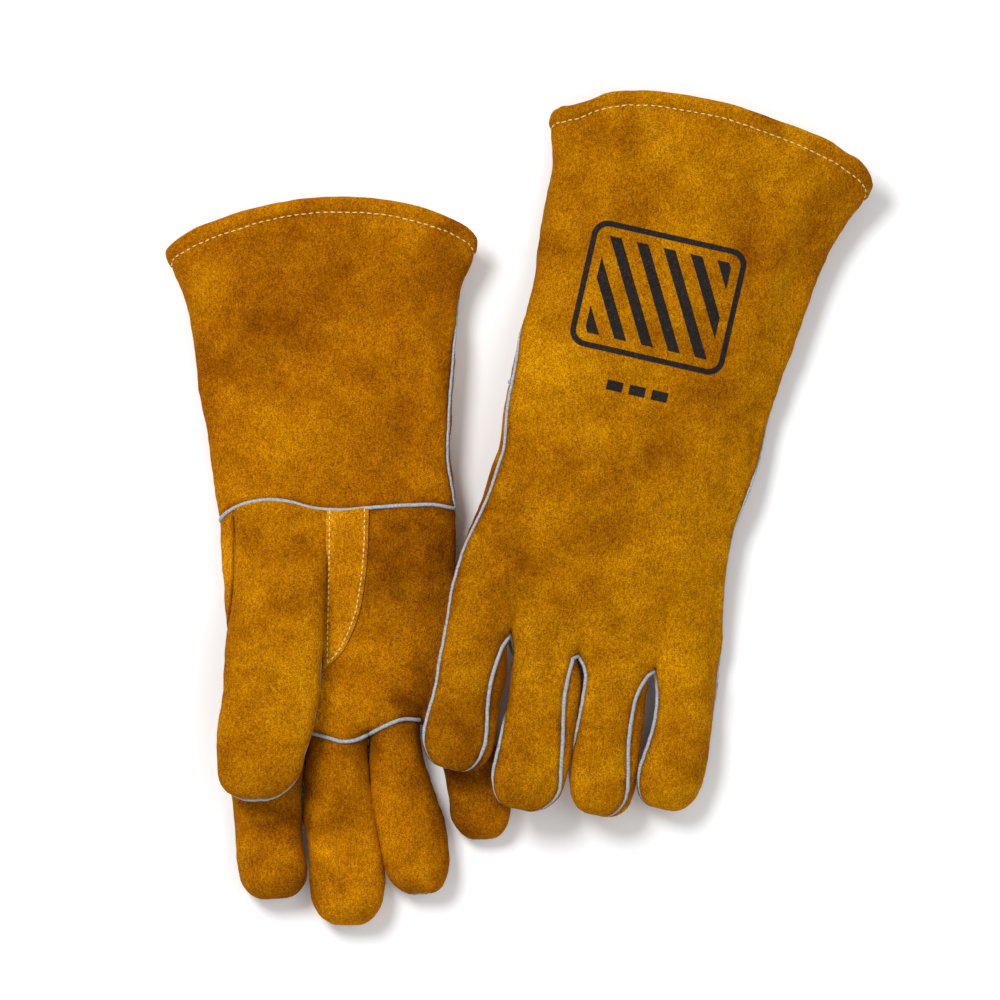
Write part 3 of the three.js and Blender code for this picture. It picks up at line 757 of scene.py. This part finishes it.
def mark(n):
    """A plain printed panel: a frame with slanting bars in it, and three short bars below."""
    centre_x, centre_y = -4.5, -97.0
    turn = math.radians(LEFT["turn"])
    at_x, at_y = LEFT["at"]
    back_x = at_x * math.cos(turn) + at_y * math.sin(turn)
    back_y = at_y * math.cos(turn) - at_x * math.sin(turn)
    shift = (-back_x - centre_x, -back_y - centre_y, 0)
    spot = n.mapping(Scale=(1 / MM,) * 3, Rotation=(0, 0, -turn), Location=shift)
    x, y, _ = n.new("SeparateXYZ", Vector=spot).outputs

    def within(value, limit):
        """1 where a distance is under the limit, with a slightly soft edge."""
        near = n.math("SUBTRACT", limit, n.math("ABSOLUTE", value))
        return n.math("DIVIDE", near, INK_EDGE, clamp=True)

    def panel(wide, tall, corner):
        """Inside a rectangle with rounded corners."""
        over_x = n.math("MAXIMUM", n.math("SUBTRACT", n.math("ABSOLUTE", x), wide - corner), 0.0)
        over_y = n.math("MAXIMUM", n.math("SUBTRACT", n.math("ABSOLUTE", y), tall - corner), 0.0)
        square = n.math("ADD", n.math("MULTIPLY", over_x, over_x), n.math("MULTIPLY", over_y, over_y))
        return within(n.math("SQRT", square), corner)

    outline = n.math("MULTIPLY", panel(38, 31, 8), n.math("SUBTRACT", 1.0, panel(35.2, 28.2, 5.5)))
    slant = n.math("MULTIPLY_ADD", y, 0.55, x)
    stripes = within(n.math("WRAP", slant, 6.6, -6.6), 3.1)
    inside = n.math("MULTIPLY", stripes, panel(31, 24, 2))
    bar = within(n.math("WRAP", x, 5.5, -5.5), 4.1)
    bars = n.math("MULTIPLY", bar, n.math("MULTIPLY", within(n.math("ADD", y, 46.0), 2.6), within(x, 16.4)))
    return n.math("MAXIMUM", n.math("MAXIMUM", outline, inside), bars)


def simple_cloth(name, light, dark, scale, rough, strength, distance):
    """Thread, canvas, fleece or welt leather: two tones and a relief from one fine noise."""
    n = Nodes(name)
    fine = n.noise(scale, 3, 0.6)
    n.set(n.shader, Base_Color=n.ramp(fine, (0.3, dark), (0.7, light)), Roughness=rough,
          Specular_IOR_Level=0.2, Normal=n.bump(fine, strength, distance))
    return n.material


OCHRE = (srgb(188, 127, 2), srgb(160, 99, 1), srgb(122, 66, 1))
AMBER = (srgb(180, 114, 2), srgb(148, 85, 1), srgb(88, 42, 1))
GOLD = (srgb(188, 126, 3), srgb(167, 105, 2), srgb(134, 74, 1))
BACK = suede("suede_back", OCHRE)
PRINTED = suede("suede_back_printed", OCHRE, printed=mark)
CUFF = suede("suede_cuff", (srgb(184, 118, 2), srgb(157, 92, 1), srgb(118, 62, 1)))
PALM = suede("suede_palm", AMBER, (srgb(204, 134, 3), srgb(174, 107, 2), srgb(122, 66, 1)))
THUMB = suede("suede_thumb", AMBER, GOLD)
STRAP = suede("suede_strap", (srgb(208, 143, 4), srgb(187, 120, 3), srgb(152, 88, 2)))
WELT = simple_cloth("welt_leather", srgb(186, 192, 200), srgb(128, 136, 148), 1100, 0.75, 0.5, 0.0003)
THREAD = simple_cloth("thread", srgb(240, 220, 160), srgb(205, 172, 104), 2600, 0.85, 0.4, 0.0002)
CANVAS = simple_cloth("canvas", srgb(186, 194, 204), srgb(128, 138, 152), 1400, 0.95, 0.6, 0.0003)
FLEECE = simple_cloth("fleece", srgb(232, 226, 212), srgb(196, 188, 172), 700, 1.0, 0.9, 0.0008)


# --------------------------------------------------------------------------- one glove
def finish_piece(obj, glove, part, node, hinge_y):
    """Hides the piece's CAD node and attaches the piece to its glove; a piece whose part moves is only baked.
    """
    home, body = f"{glove['name']}_glove", f"{glove['name']}_{part}"
    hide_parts(f"{glove['name']}_{node}")
    if body not in frame["bodies"]:
        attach(obj, home)
        return
    start = to_frame(glove, (0, hinge_y, 0))
    end = to_frame(glove, (0, hinge_y - BEND, 0))
    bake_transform(obj)


def add_leather(glove, skin, name, material, depth, part=None, hinge_y=None, lip=False):
    piece = leather_piece(glove, skin, name, material, depth, lip)
    finish_piece(piece, glove, part, name, hinge_y)


def add_mesh(glove, name, shape, material, node, part=None, hinge_y=None):
    """A piece from points and faces that are given in a glove's own frame."""
    verts, faces = shape
    piece = new_object(f"{glove['name']}_{name}", to_frame(glove, verts), faces, material)
    finish_piece(piece, glove, part, node, hinge_y)


def build_skin(glove):
    skin = Skin()
    for side in ("over", "under"):
        front = side == glove["palm"]
        flip = side == "under"
        body = body_net(glove, side)
        if front:
            skin.add("cuff_front", body[:CUFF_ROWS + 1], flip)
            skin.add("palm_panel", body[CUFF_ROWS:], flip)
        else:
            skin.add("back_panel", body, flip)
        for finger in FINGERS:
            end = "front" if front else "back"
            skin.add(f"{finger}_{end}", finger_net(glove, finger, side, body[-1]), flip)
    skin.sew()
    return skin


def seam_lines(skin):
    """Point numbers along each welted seam, by the welt's name."""
    back = skin.index["back_panel"]
    lines = {"index_side_welt": back[:, 0], "little_side_welt": back[:, -1],
             "wrist_welt": skin.index["cuff_front"][-1]}
    for finger in FINGERS:
        net = skin.index[f"{finger}_back"]
        lines[f"{finger}_welt"] = np.concatenate([net[:, 0], net[-1, 1:-1], net[::-1, -1]])
    return lines


def lengths(points):
    """How far along a line of points each one lies."""
    step = np.linalg.norm(np.diff(points, axis=0), axis=-1)
    return np.concatenate([np.zeros_like(step[:1]), np.cumsum(step, axis=0)])


def near_seams(skin, lines):
    """For each point of the skin: how far the nearest seam is, and how far along it that lies."""
    where = np.vstack([skin.points[ids] for ids in lines.values()])
    along = np.concatenate([lengths(skin.points[ids]) for ids in lines.values()])
    tree = KDTree(len(where))
    for k, point in enumerate(where.tolist()):
        tree.insert(point, k)
    tree.balance()
    found = [tree.find(point) for point in skin.points.tolist()]
    return np.array([f[2] for f in found]), along[[f[1] for f in found]]


def ridge(points, crease):
    """Height that a fold adds: crease is its two ends, half-width and height, in mm."""
    x0, y0, x1, y1, width, rise = crease
    p, a = points[:, :2], np.array([x0, y0])
    line = np.array([x1, y1]) - a
    t = np.clip((p - a) @ line / (line @ line), 0, 1)
    off = np.linalg.norm(p - a - t[:, None] * line, axis=1)
    return rise * np.exp(-(off / width) ** 2) * np.sin(np.clip(t, 0.04, 0.96) * math.pi) ** 0.5


def inflate(skin, held):
    """Blender's Cloth fills the leather between its sewn seams, as a hand and its lining do."""
    mesh = bpy.data.meshes.new("filling")
    mesh.from_pydata((skin.points * MM).tolist(), [], skin.faces.tolist())
    obj = bpy.data.objects.new("filling", mesh)
    bpy.context.collection.objects.link(obj)
    group = obj.vertex_groups.new(name="held")
    group.add(np.nonzero(held)[0].tolist(), 1.0, "REPLACE")
    cloth = obj.modifiers.new("Cloth", "CLOTH")
    settings = cloth.settings
    settings.quality = 4
    settings.mass = 0.2
    settings.tension_stiffness = 30
    settings.compression_stiffness = 30
    settings.shear_stiffness = 12
    settings.bending_stiffness = 3
    settings.vertex_group_mass = "held"
    settings.use_pressure = True
    settings.uniform_pressure_force = FILL_PRESSURE
    settings.effector_weights.gravity = 0
    cloth.collision_settings.use_collision = False
    cloth.point_cache.frame_start = 1
    cloth.point_cache.frame_end = FILL_FRAMES
    scene = bpy.context.scene
    for number in range(1, FILL_FRAMES + 1):
        scene.frame_set(number)
    shaped = obj.evaluated_get(bpy.context.evaluated_depsgraph_get())
    values = np.empty(len(skin.points) * 3)
    shaped.to_mesh().vertices.foreach_get("co", values)
    shaped.to_mesh_clear()
    moved = values.reshape(-1, 3) / MM - skin.points
    scene.frame_set(1)
    bpy.data.objects.remove(obj)
    bpy.data.meshes.remove(mesh)
    return moved


def fill(skin, held):
    """Lets the leather bulge between its seams. What rests on something stays nearly flat."""
    moved = inflate(skin, held)
    size = np.linalg.norm(moved, axis=1)
    free = mix(0.25, 1.0, ease(skin.normals[:, 2] + 0.5))
    skin.points += moved * (free * np.minimum(1, FILL_CAP / np.maximum(size, 1e-6)))[:, None]
    skin.rest()
    skin.turn()


def wrinkle(glove, skin, away, along):
    """Dents, folds and the small puckers along the seams."""
    p, seed = skin.points, glove["seed"]
    swell = bumps(p, 52, seed, 2) * 2.1 + bumps(p, 19, seed + 1, 3) + bumps(p, 6.5, seed + 2, 2) * 0.24
    upper = skin.normals[:, 2] > 0
    for crease in glove["folds"]:
        swell += 1.4 * ridge(p, crease) * upper
    phase = along * 2 * math.pi / PUCKER + bumps(p, 12, seed + 3, 1) * 2
    swell += 0.3 * np.sin(phase) * np.exp(-away / 3.2)
    resting = p[:, 2] - lift(glove, p[:, 0], p[:, 1])
    loose = ease(resting / 4) * (1 - 0.7 * np.exp(-away / 5))
    skin.points = p + skin.normals * (swell * loose)[:, None]


def shape_hem(skin, stitched):
    """The hem is fuller than the leather past it, and its row of stitches pulls it in."""
    for name in ("cuff_front", "back_panel"):
        grid = skin.index[name]
        down = lengths(skin.points[grid])
        full = 0.5 * ease(1 - np.abs(down - HEM / 2) / (HEM / 2 + 0.6))
        push = full - 0.75 * np.exp(-((down - HEM) / 1.2) ** 2)
        ids, first = np.unique(grid.reshape(-1), return_index=True)
        skin.points[ids] += skin.normals[ids] * (push.reshape(-1)[first] * (1 - stitched[ids]))[:, None]
    skin.rest()
    skin.turn()


def base_seam(glove):
    """Where the seam at the finger bases runs, seen from above."""
    base = np.array(glove["base_welt"], float)
    along = lengths(base)
    fine = np.linspace(0, along[-1], 90)
    return np.stack([curve(list(zip(along, base[:, k])))(fine) for k in (0, 1)], -1)


def welt_paths(glove, skin, lines):
    """Where each welt's cord runs. Round a fingertip it sinks in, out of sight."""
    paths = {}
    for name, ids in lines.items():
        sink = np.full(len(ids), WELT_SINK)
        finger = name.split("_")[0]
        if name == f"{finger}_welt" and finger in FINGERS:
            spec = glove["fingers"][finger]
            reach = (spec["end"] - spec["tip"][1]) * 0.6
            sink = mix(WELT_SINK, 1.0, ease((spec["end"] - skin.points[ids, 1]) / reach))
        paths[name] = skin.points[ids] - skin.normals[ids] * sink[:, None]
    return paths


def tint(skin, base, facing):
    """Where the suede is gold-toned and where light and shade are painted on it. A painted shadow darkens
    the palm along its outer side, and painted light makes it lighter in its middle and on the fingertips."""
    across, y = skin.points[:, 0], skin.points[:, 1]
    # Painted shadow along the palm's outer side, where the other glove lies beside it.
    dark = 0.7 * ease((across - 28) / 22) * ease((-150 - y) / 8) * ease((y + 262) / 30) * facing
    skin.away = mix(skin.away, np.minimum(skin.away, 1.0), dark)
    past = np.interp(across, base[:, 0], base[:, 1]) - y
    beyond = ease(past / 1.2 + 0.5) * ((across > base[0, 0] - 3) & (across < base[-1, 0] + 3))
    # Painted shade at the base of each finger, under the welt, and painted light towards its tip.
    tips = mix(0.05, 1.0, ease((past - 4) / 58))
    # Painted light in the palm's middle.
    middle = 0.6 * ease((42 - across) / 26) * ease((across + 22) / 12) * ease((-160 - y) / 46)
    # Painted light on the index fingertip, out of the thumb's shade.
    index_tip = 0.3 * ease((-18 - across) / 4) * ease((-300 - y) / 25)
    # The side piece beside the thumb is gold-toned suede.
    sidepiece = ease((-48.5 - across) / 1.2) * ease((y + 200) / 10)
    skin.golden_and_lit = np.max([beyond * tips, middle * (1 - beyond), index_tip, sidepiece], axis=0)


def shape_skin(glove, skin):
    """Takes the sewn net from its plain sections to soft, used leather. Returns the welts' paths."""
    over = glove["palm"] == "over"
    lines = seam_lines(skin)
    sewn = np.unique(np.concatenate(list(lines.values())))
    stitched = np.zeros(len(skin.points))
    stitched[sewn] = 1
    held = stitched.copy()
    held[skin.index["cuff_front"][0]] = 1
    held[skin.index["back_panel"][0]] = 1
    near = np.abs(skin.points[:, 1] - glove["knuckles"])
    skin.relax(np.exp(-(near / 14) ** 2) * (1 - held) * 0.9, 14)
    away, along = near_seams(skin, lines)
    fill(skin, held)
    wrinkle(glove, skin, away, along)
    shape_hem(skin, stitched)
    base = base_seam(glove)
    tree = skin_tree(skin)
    base_path = np.array([probe(tree, x, y, glove["palm"])[0] for x, y in base])
    front = np.abs(skin.points[:, 2] - np.mean(base_path[:, 2])) < 9
    facing = (skin.normals[:, 2] > 0.2) if over else (skin.normals[:, 2] < -0.2)
    off = np.min(np.linalg.norm(skin.points[:, None, :2] - base[None, ::3], axis=2), axis=1)
    skin.points -= skin.normals * (0.8 * np.exp(-(off / 1.9) ** 2) * front * facing)[:, None]
    paths = welt_paths(glove, skin, lines)
    paths["finger_base_welt"] = base_path - np.array([0, 0, 0.2 if over else -0.2])
    # A welted seam pulls the leather in.
    skin.points[sewn] -= skin.normals[sewn] * GROOVE
    skin.turn()
    # Painted shade also runs beside the seam at the finger bases, on the side that faces out.
    skin.away = np.minimum(away, off + 6 * (1 - front * facing))
    tint(skin, base, facing)
    return paths


def skin_tree(skin):
    return BVHTree.FromPolygons([Vector(p) for p in skin.points.tolist()], skin.faces.tolist())


def probe(tree, x, y, side):
    """The skin's point and normal straight above or below a place."""
    far = 300.0 if side == "over" else -300.0
    hit = tree.ray_cast(Vector((x, y, far)), Vector((0, 0, -math.copysign(1, far))))
    if hit[0] is None:
        near = tree.find_nearest(Vector((x, y, 20.0 if side == "over" else 0.0)))
        return np.array((x, y, near[0].z)), np.array(near[1])
    normal = np.array(hit[1])
    return np.array(hit[0]), normal * (1 if normal[2] * far > 0 else -1)


def palm_heights(glove, tree, x, y):
    flat = [probe(tree, a, b, glove["palm"])[0][2] for a, b in zip(x.reshape(-1), y.reshape(-1))]
    return np.array(flat).reshape(x.shape)


def to_wrist(net, wrist, start, reach):
    """Moves the top rows of a net along the hand so that they follow the wrist seam."""
    order = np.argsort(wrist[:, 0])
    seam = np.interp(net[..., 0], wrist[order, 0], wrist[order, 1])
    net[..., 1] += (seam + 0.2 - start) * (1 - ease((start - net[..., 1]) / reach))


def thumb_net(glove, tree, wrist, side):
    """The thumb's upper or under half as rows of points, and the row where it bends."""
    spec = dict(glove["thumb"])
    facing = 1 if glove["palm"] == "over" else -1
    spec["in_left"], spec["in_right"] = NONE, NONE
    if facing > 0:
        spec["in_left"] = [(-400, -2), (0, -2)]
        spec["in_right"] = [(-400, spec["peek"]), (0, spec["peek"])]
    x, plain_y, v, full = tube_rows(spec, spec["start"], side, THUMB_COLUMNS)
    rise_from, rise_to = spec["rise"]
    rise = ease((rise_from - plain_y) / (rise_from - rise_to))
    moved = np.stack([x, plain_y], -1)
    to_wrist(moved, wrist, spec["start"], 26)
    y = moved[..., 1]
    inside = np.clip(x, -50, None) if facing > 0 else x
    palm = palm_heights(glove, tree, inside, np.maximum(y, rise_to - 6))
    half = spec["thick"] / 2
    base = mix(palm, spec["floor"] + half, rise)
    swell = mix(0.3, half, ease((spec["start"] - plain_y) / spec["mound"]))
    outer = v * facing > 0
    bulge = np.where(outer, swell, mix(0.0, half + 0.6, rise)) * np.abs(v) * full
    z = base + facing * bulge * np.where(outer, 1, -1)
    net = np.stack([x, y, np.maximum(z, REST)], -1)
    return net, int(np.argmin(np.abs(plain_y[:, 0] - spec["hinge"])))


def thumb_skin(glove, tree, wrist):
    """The thumb's leather, which rises from the palm at the wrist as a mound and becomes a tube,
    and the path of its welt."""
    spec = glove["thumb"]
    front = glove["palm"]
    back = "under" if front == "over" else "over"
    skin = Skin()
    net, hinge = thumb_net(glove, tree, wrist, front)
    skin.add("thumb_root", net[:hinge + 1], front == "under")
    skin.add("thumb_front", net[hinge:], front == "under")
    skin.add("thumb_back", thumb_net(glove, tree, wrist, back)[0], back == "under")
    skin.sew()
    net = skin.index["thumb_back"]
    first = int(np.argmin(np.abs(skin.points[net[:, 0], 1] - spec["hinge"]))) - 8
    ids = np.concatenate([net[first:, 0], net[-1, 1:-1], net[first:, -1][::-1]])
    away, along = near_seams(skin, {"thumb_welt": ids})
    p, seed = skin.points, glove["seed"] + 20
    swell = bumps(p, 34, seed, 2) * 1.1 + bumps(p, 14, seed + 1, 3) * 0.6 + bumps(p, 6, seed + 2, 2) * 0.2
    swell += 0.28 * np.sin(along * 2 * math.pi / 6.1) * np.exp(-away / 3)
    start = ease((spec["start"] - p[:, 1]) / 12)
    skin.points = p + skin.normals * (swell * start * (1 - 0.7 * np.exp(-away / 5)))[:, None]
    skin.rest()
    skin.turn()
    path = skin.points[ids] - skin.normals[ids] * WELT_SINK
    skin.points[ids] -= skin.normals[ids] * GROOVE
    skin.turn()
    # Painted shade beside the thumb's welt; the thumb's suede is darker at its root, with painted light
    # towards its tip.
    skin.away = away
    skin.golden_and_lit = 0.35 + 0.65 * ease((-165 - skin.points[:, 1]) / 60)
    return skin, path


def strap_skin(glove, tree, wrist):
    """The reinforcing strap, which lies on the palm and is a little crowned."""
    spec = glove["strap"]
    rows, columns = 60, 16
    y = np.linspace(spec["top"], spec["point"], rows)[:, None] + np.zeros(columns + 1)
    share = np.linspace(0, 1, columns + 1)[None, :]
    left, right = curve(spec["left"])(y), curve(spec["right"])(y)
    right = np.maximum(right, left + 0.4)
    x = mix(left, right, share)
    facing = 1 if glove["palm"] == "over" else -1
    moved = np.stack([x, y], -1)
    to_wrist(moved, wrist, spec["top"], 20)
    y = moved[..., 1]
    z = palm_heights(glove, tree, x, y)
    side = (right - left) * np.minimum(share, 1 - share)
    z = z + facing * (1.0 + 0.55 * ease(side / 2.2))
    net = np.stack([x, y, np.maximum(z, REST)], -1)
    skin = Skin()
    skin.add("thumb_strap", net, facing < 0)
    skin.sew()
    skin.relax(np.full(len(skin.points), 0.3), 2)
    skin.points += skin.normals * (bumps(skin.points, 11, glove["seed"] + 30, 3) * 0.3)[:, None]
    skin.turn()
    return skin


def stitch_row(glove, points, normals, stitch, seed, name, node):
    """A row of stitches along a line of points. stitch is the pitch, length and width."""
    points[:, 2] = np.maximum(points[:, 2], STITCH_REST)
    pitch, length, width = stitch
    shape = stitch_mesh(*walk(points, normals, pitch), length, width, seed)
    add_mesh(glove, name, shape, THREAD, node)


def hem_line(skin, name, distance):
    """Points and normals along the cuff, a given distance from its edge."""
    grid = skin.index[name]
    rows, normal = skin.points[grid], skin.normals[grid]
    down = lengths(rows)
    points, normals = [], []
    for c in range(grid.shape[1]):
        points.append([np.interp(distance, down[:, c], rows[:, c, k]) for k in range(3)])
        normals.append([np.interp(distance, down[:, c], normal[:, c, k]) for k in range(3)])
    return np.array(points), np.array(normals)


def lining_piece(glove, skin, name, rows, letter, node, material, slot, offset, thick):
    """A lining inside the leather: the same surface, further in. The hand's closes before the
    fingers start."""
    grid = skin.index[name][rows]
    net = skin.points[grid] - skin.normals[grid] * offset
    net[..., 2] = np.maximum(net[..., 2], 2.2)
    net[..., 0] = np.clip(net[..., 0], glove["left"](net[..., 1]) + 4, glove["right"](net[..., 1]) - 4)
    middle = glove["thick"](net[..., 1]) / 2 + lift(glove, net[..., 0], net[..., 1])
    closing = ease((glove["knuckles"] + 46 - net[..., 1]) / 26)
    net[..., 2] = mix(net[..., 2], middle, closing)
    inner = Skin()
    inner.add(f"{node}_{letter}", net, skin.flip[skin.names.index(name)])
    inner.sew()
    piece = leather_piece(glove, inner, f"{node}_{letter}", material, thick, ending="cloth")
    finish_piece(piece, glove, None, node, None)


def build_leather(glove, skin):
    """The cuff, the palm and the fingers."""
    for name, material in (("back_panel", BACK), ("cuff_front", CUFF)):
        down = lengths(skin.points[skin.index[name]])
        depth = mix(HEM_LEATHER, LEATHER, ease((down - HEM - 6) / 4))
        if name == "back_panel" and glove["name"] == "left":
            material = PRINTED
        add_leather(glove, skin, name, material, depth, lip=True)
    add_leather(glove, skin, "palm_panel", PALM, LEATHER)
    for finger in FINGERS:
        for end, material, slot in (("front", PALM, "palm_suede"), ("back", BACK, "back_suede")):
            add_leather(glove, skin, f"{finger}_{end}", material, FINGER_LEATHER, finger,
                        glove["knuckles"])


def build_thumb(glove, thumb):
    add_leather(glove, thumb, "thumb_root", THUMB, FINGER_LEATHER)
    for end in ("front", "back"):
        add_leather(glove, thumb, f"thumb_{end}", THUMB, FINGER_LEATHER, "thumb",
                    glove["thumb"]["hinge"])


def build_welts(glove, paths):
    """A cord in each welted seam."""
    for name, path in paths.items():
        radius = SIDE_WELT_RADIUS if "side" in name else WELT_RADIUS
        path[:, 2] = np.maximum(path[:, 2], radius + 0.1)
        shape = tube_mesh(path, radius * (1 + 0.1 * bumps(path, 7, 5, 1)))
        part = name.removesuffix("_welt")
        if part not in (*FINGERS, "thumb"):
            part = None
        hinge = glove["thumb"]["hinge"] if part == "thumb" else glove["knuckles"]
        add_mesh(glove, f"{name}_cord", shape, WELT, name, part, hinge)


def build_hem_stitches(glove, skin):
    """A row of stitches round the cuff, in two halves that stop short of the side seams."""
    for k, name in enumerate(("cuff_front", "back_panel")):
        points, normals = hem_line(skin, name, HEM)
        sewn = np.abs(lengths(points) / lengths(points)[-1] - 0.5) < 0.485
        stitch_row(glove, points[sewn], normals[sewn], HEM_STITCH, 40 + k, f"hem_stitches_{name}",
                   "hem_stitching")


def build_strap_stitches(glove, strap):
    """Two rows of stitches, each just inside one of the strap's long edges."""
    grid = strap.index["thumb_strap"]
    rows, columns = grid.shape
    pick = np.arange(rows)
    width = lengths(strap.points[grid].transpose(1, 0, 2))[-1]
    for k, (label, share) in enumerate((("inner", 1.9 / width), ("outer", 1 - 2.0 / width))):
        place = np.clip(share, 0.08, 0.92) * (columns - 1)
        low = np.floor(place).astype(int)
        part = (place - low)[:, None]
        ids, beside = grid[pick, low], grid[pick, low + 1]
        points = mix(strap.points[ids], strap.points[beside], part)
        normals = mix(strap.normals[ids], strap.normals[beside], part)
        stitch_row(glove, points[1:-2], normals[1:-2], STRAP_STITCH, 50 + k,
                   f"strap_stitches_{label}", "strap_stitching")


def build_linings(glove, skin):
    """A front and a back each of the cuff's canvas and the hand's fleece."""
    canvas = ("cuff_lining", CANVAS, "canvas", 3.5, 0.8)
    fleece = ("hand_lining", FLEECE, "fleece", 2.2, 1.6)
    cuff = slice(MOUTH_ROWS, CUFF_ROWS + 1)
    lining_piece(glove, skin, "cuff_front", cuff, "a", *canvas)
    lining_piece(glove, skin, "back_panel", cuff, "b", *canvas)
    lining_piece(glove, skin, "palm_panel", slice(0, -KNUCKLE_ROWS), "a", *fleece)
    lining_piece(glove, skin, "back_panel", slice(CUFF_ROWS, -KNUCKLE_ROWS), "b", *fleece)


def build_glove(glove):
    skin = build_skin(glove)
    paths = shape_skin(glove, skin)
    build_leather(glove, skin)
    tree = skin_tree(skin)
    wrist = skin.points[skin.index["cuff_front"][-1]]
    thumb, paths["thumb_welt"] = thumb_skin(glove, tree, wrist)
    build_thumb(glove, thumb)
    strap = strap_skin(glove, tree, wrist)
    add_leather(glove, strap, "thumb_strap", STRAP, STRAP_LEATHER)
    build_welts(glove, paths)
    build_hem_stitches(glove, skin)
    build_strap_stitches(glove, strap)
    # The edge of the side piece shows as a low ridge.
    edge = np.array([probe(tree, x, y, glove["palm"]) for x, y in SIDE_EDGE])
    path = edge[:, 0] + edge[:, 1] * 0.3
    shape = tube_mesh(path, 0.62 * (1 + 0.15 * bumps(path, 5, 9, 1)))
    add_mesh(glove, "side_piece_edge", shape, STRAP, "thumb_root")
    build_linings(glove, skin)


for glove in (RIGHT, LEFT):
    build_glove(glove)

# -------------------------------------------------------------------------------- stage
FLOOR_SIZE = 6.0
bpy.ops.mesh.primitive_plane_add(size=FLOOR_SIZE, location=(0, 0, 0))
floor = bpy.context.object
floor.name = "floor"
floor_nodes = Nodes("floor_paper")
floor_nodes.set(floor_nodes.shader, Base_Color=(0.97, 0.97, 0.97), Roughness=0.9)
floor.data.materials.append(floor_nodes.material)

CENTRE = Vector((-0.0097, 0.0056, 0.02))    # of the view, at half the gloves' height


def softbox(name, place, size, power):
    data = bpy.data.lights.new(name, "AREA")
    data.shape = "DISK"
    data.size = size
    data.energy = power
    light = bpy.data.objects.new(name, data)
    light.location = place
    light.rotation_euler = (CENTRE - Vector(place)).to_track_quat("-Z", "Y").to_euler()
    bpy.context.collection.objects.link(light)


# Place, width in metres and power in watts.
softbox("key", (-0.85, 0.95, 1.65), 0.8, 33)
softbox("fill", (0.9, 0.1, 1.9), 1.3, 7)
softbox("low", (0.1, -1.3, 1.3), 1.2, 5)
world = bpy.data.worlds.new("studio")
world.use_nodes = True
world.node_tree.nodes["Background"].inputs["Color"].default_value = (1, 1, 1, 1)
world.node_tree.nodes["Background"].inputs["Strength"].default_value = 0.41
bpy.context.scene.world = world
bpy.context.scene.view_settings.view_transform = "Standard"

FRAME_WIDTH = 0.48           # width of the view at half the gloves' height
CAMERA_HEIGHT = 3.4
SENSOR = 36
camera_data = bpy.data.cameras.new("camera")
camera_data.sensor_width = SENSOR
camera_data.lens = SENSOR * (CAMERA_HEIGHT - CENTRE.z) / FRAME_WIDTH
camera_data.clip_end = 20
camera = bpy.data.objects.new("camera", camera_data)
camera.location = (CENTRE.x, CENTRE.y, CAMERA_HEIGHT)
bpy.context.collection.objects.link(camera)
bpy.context.scene.camera = camera
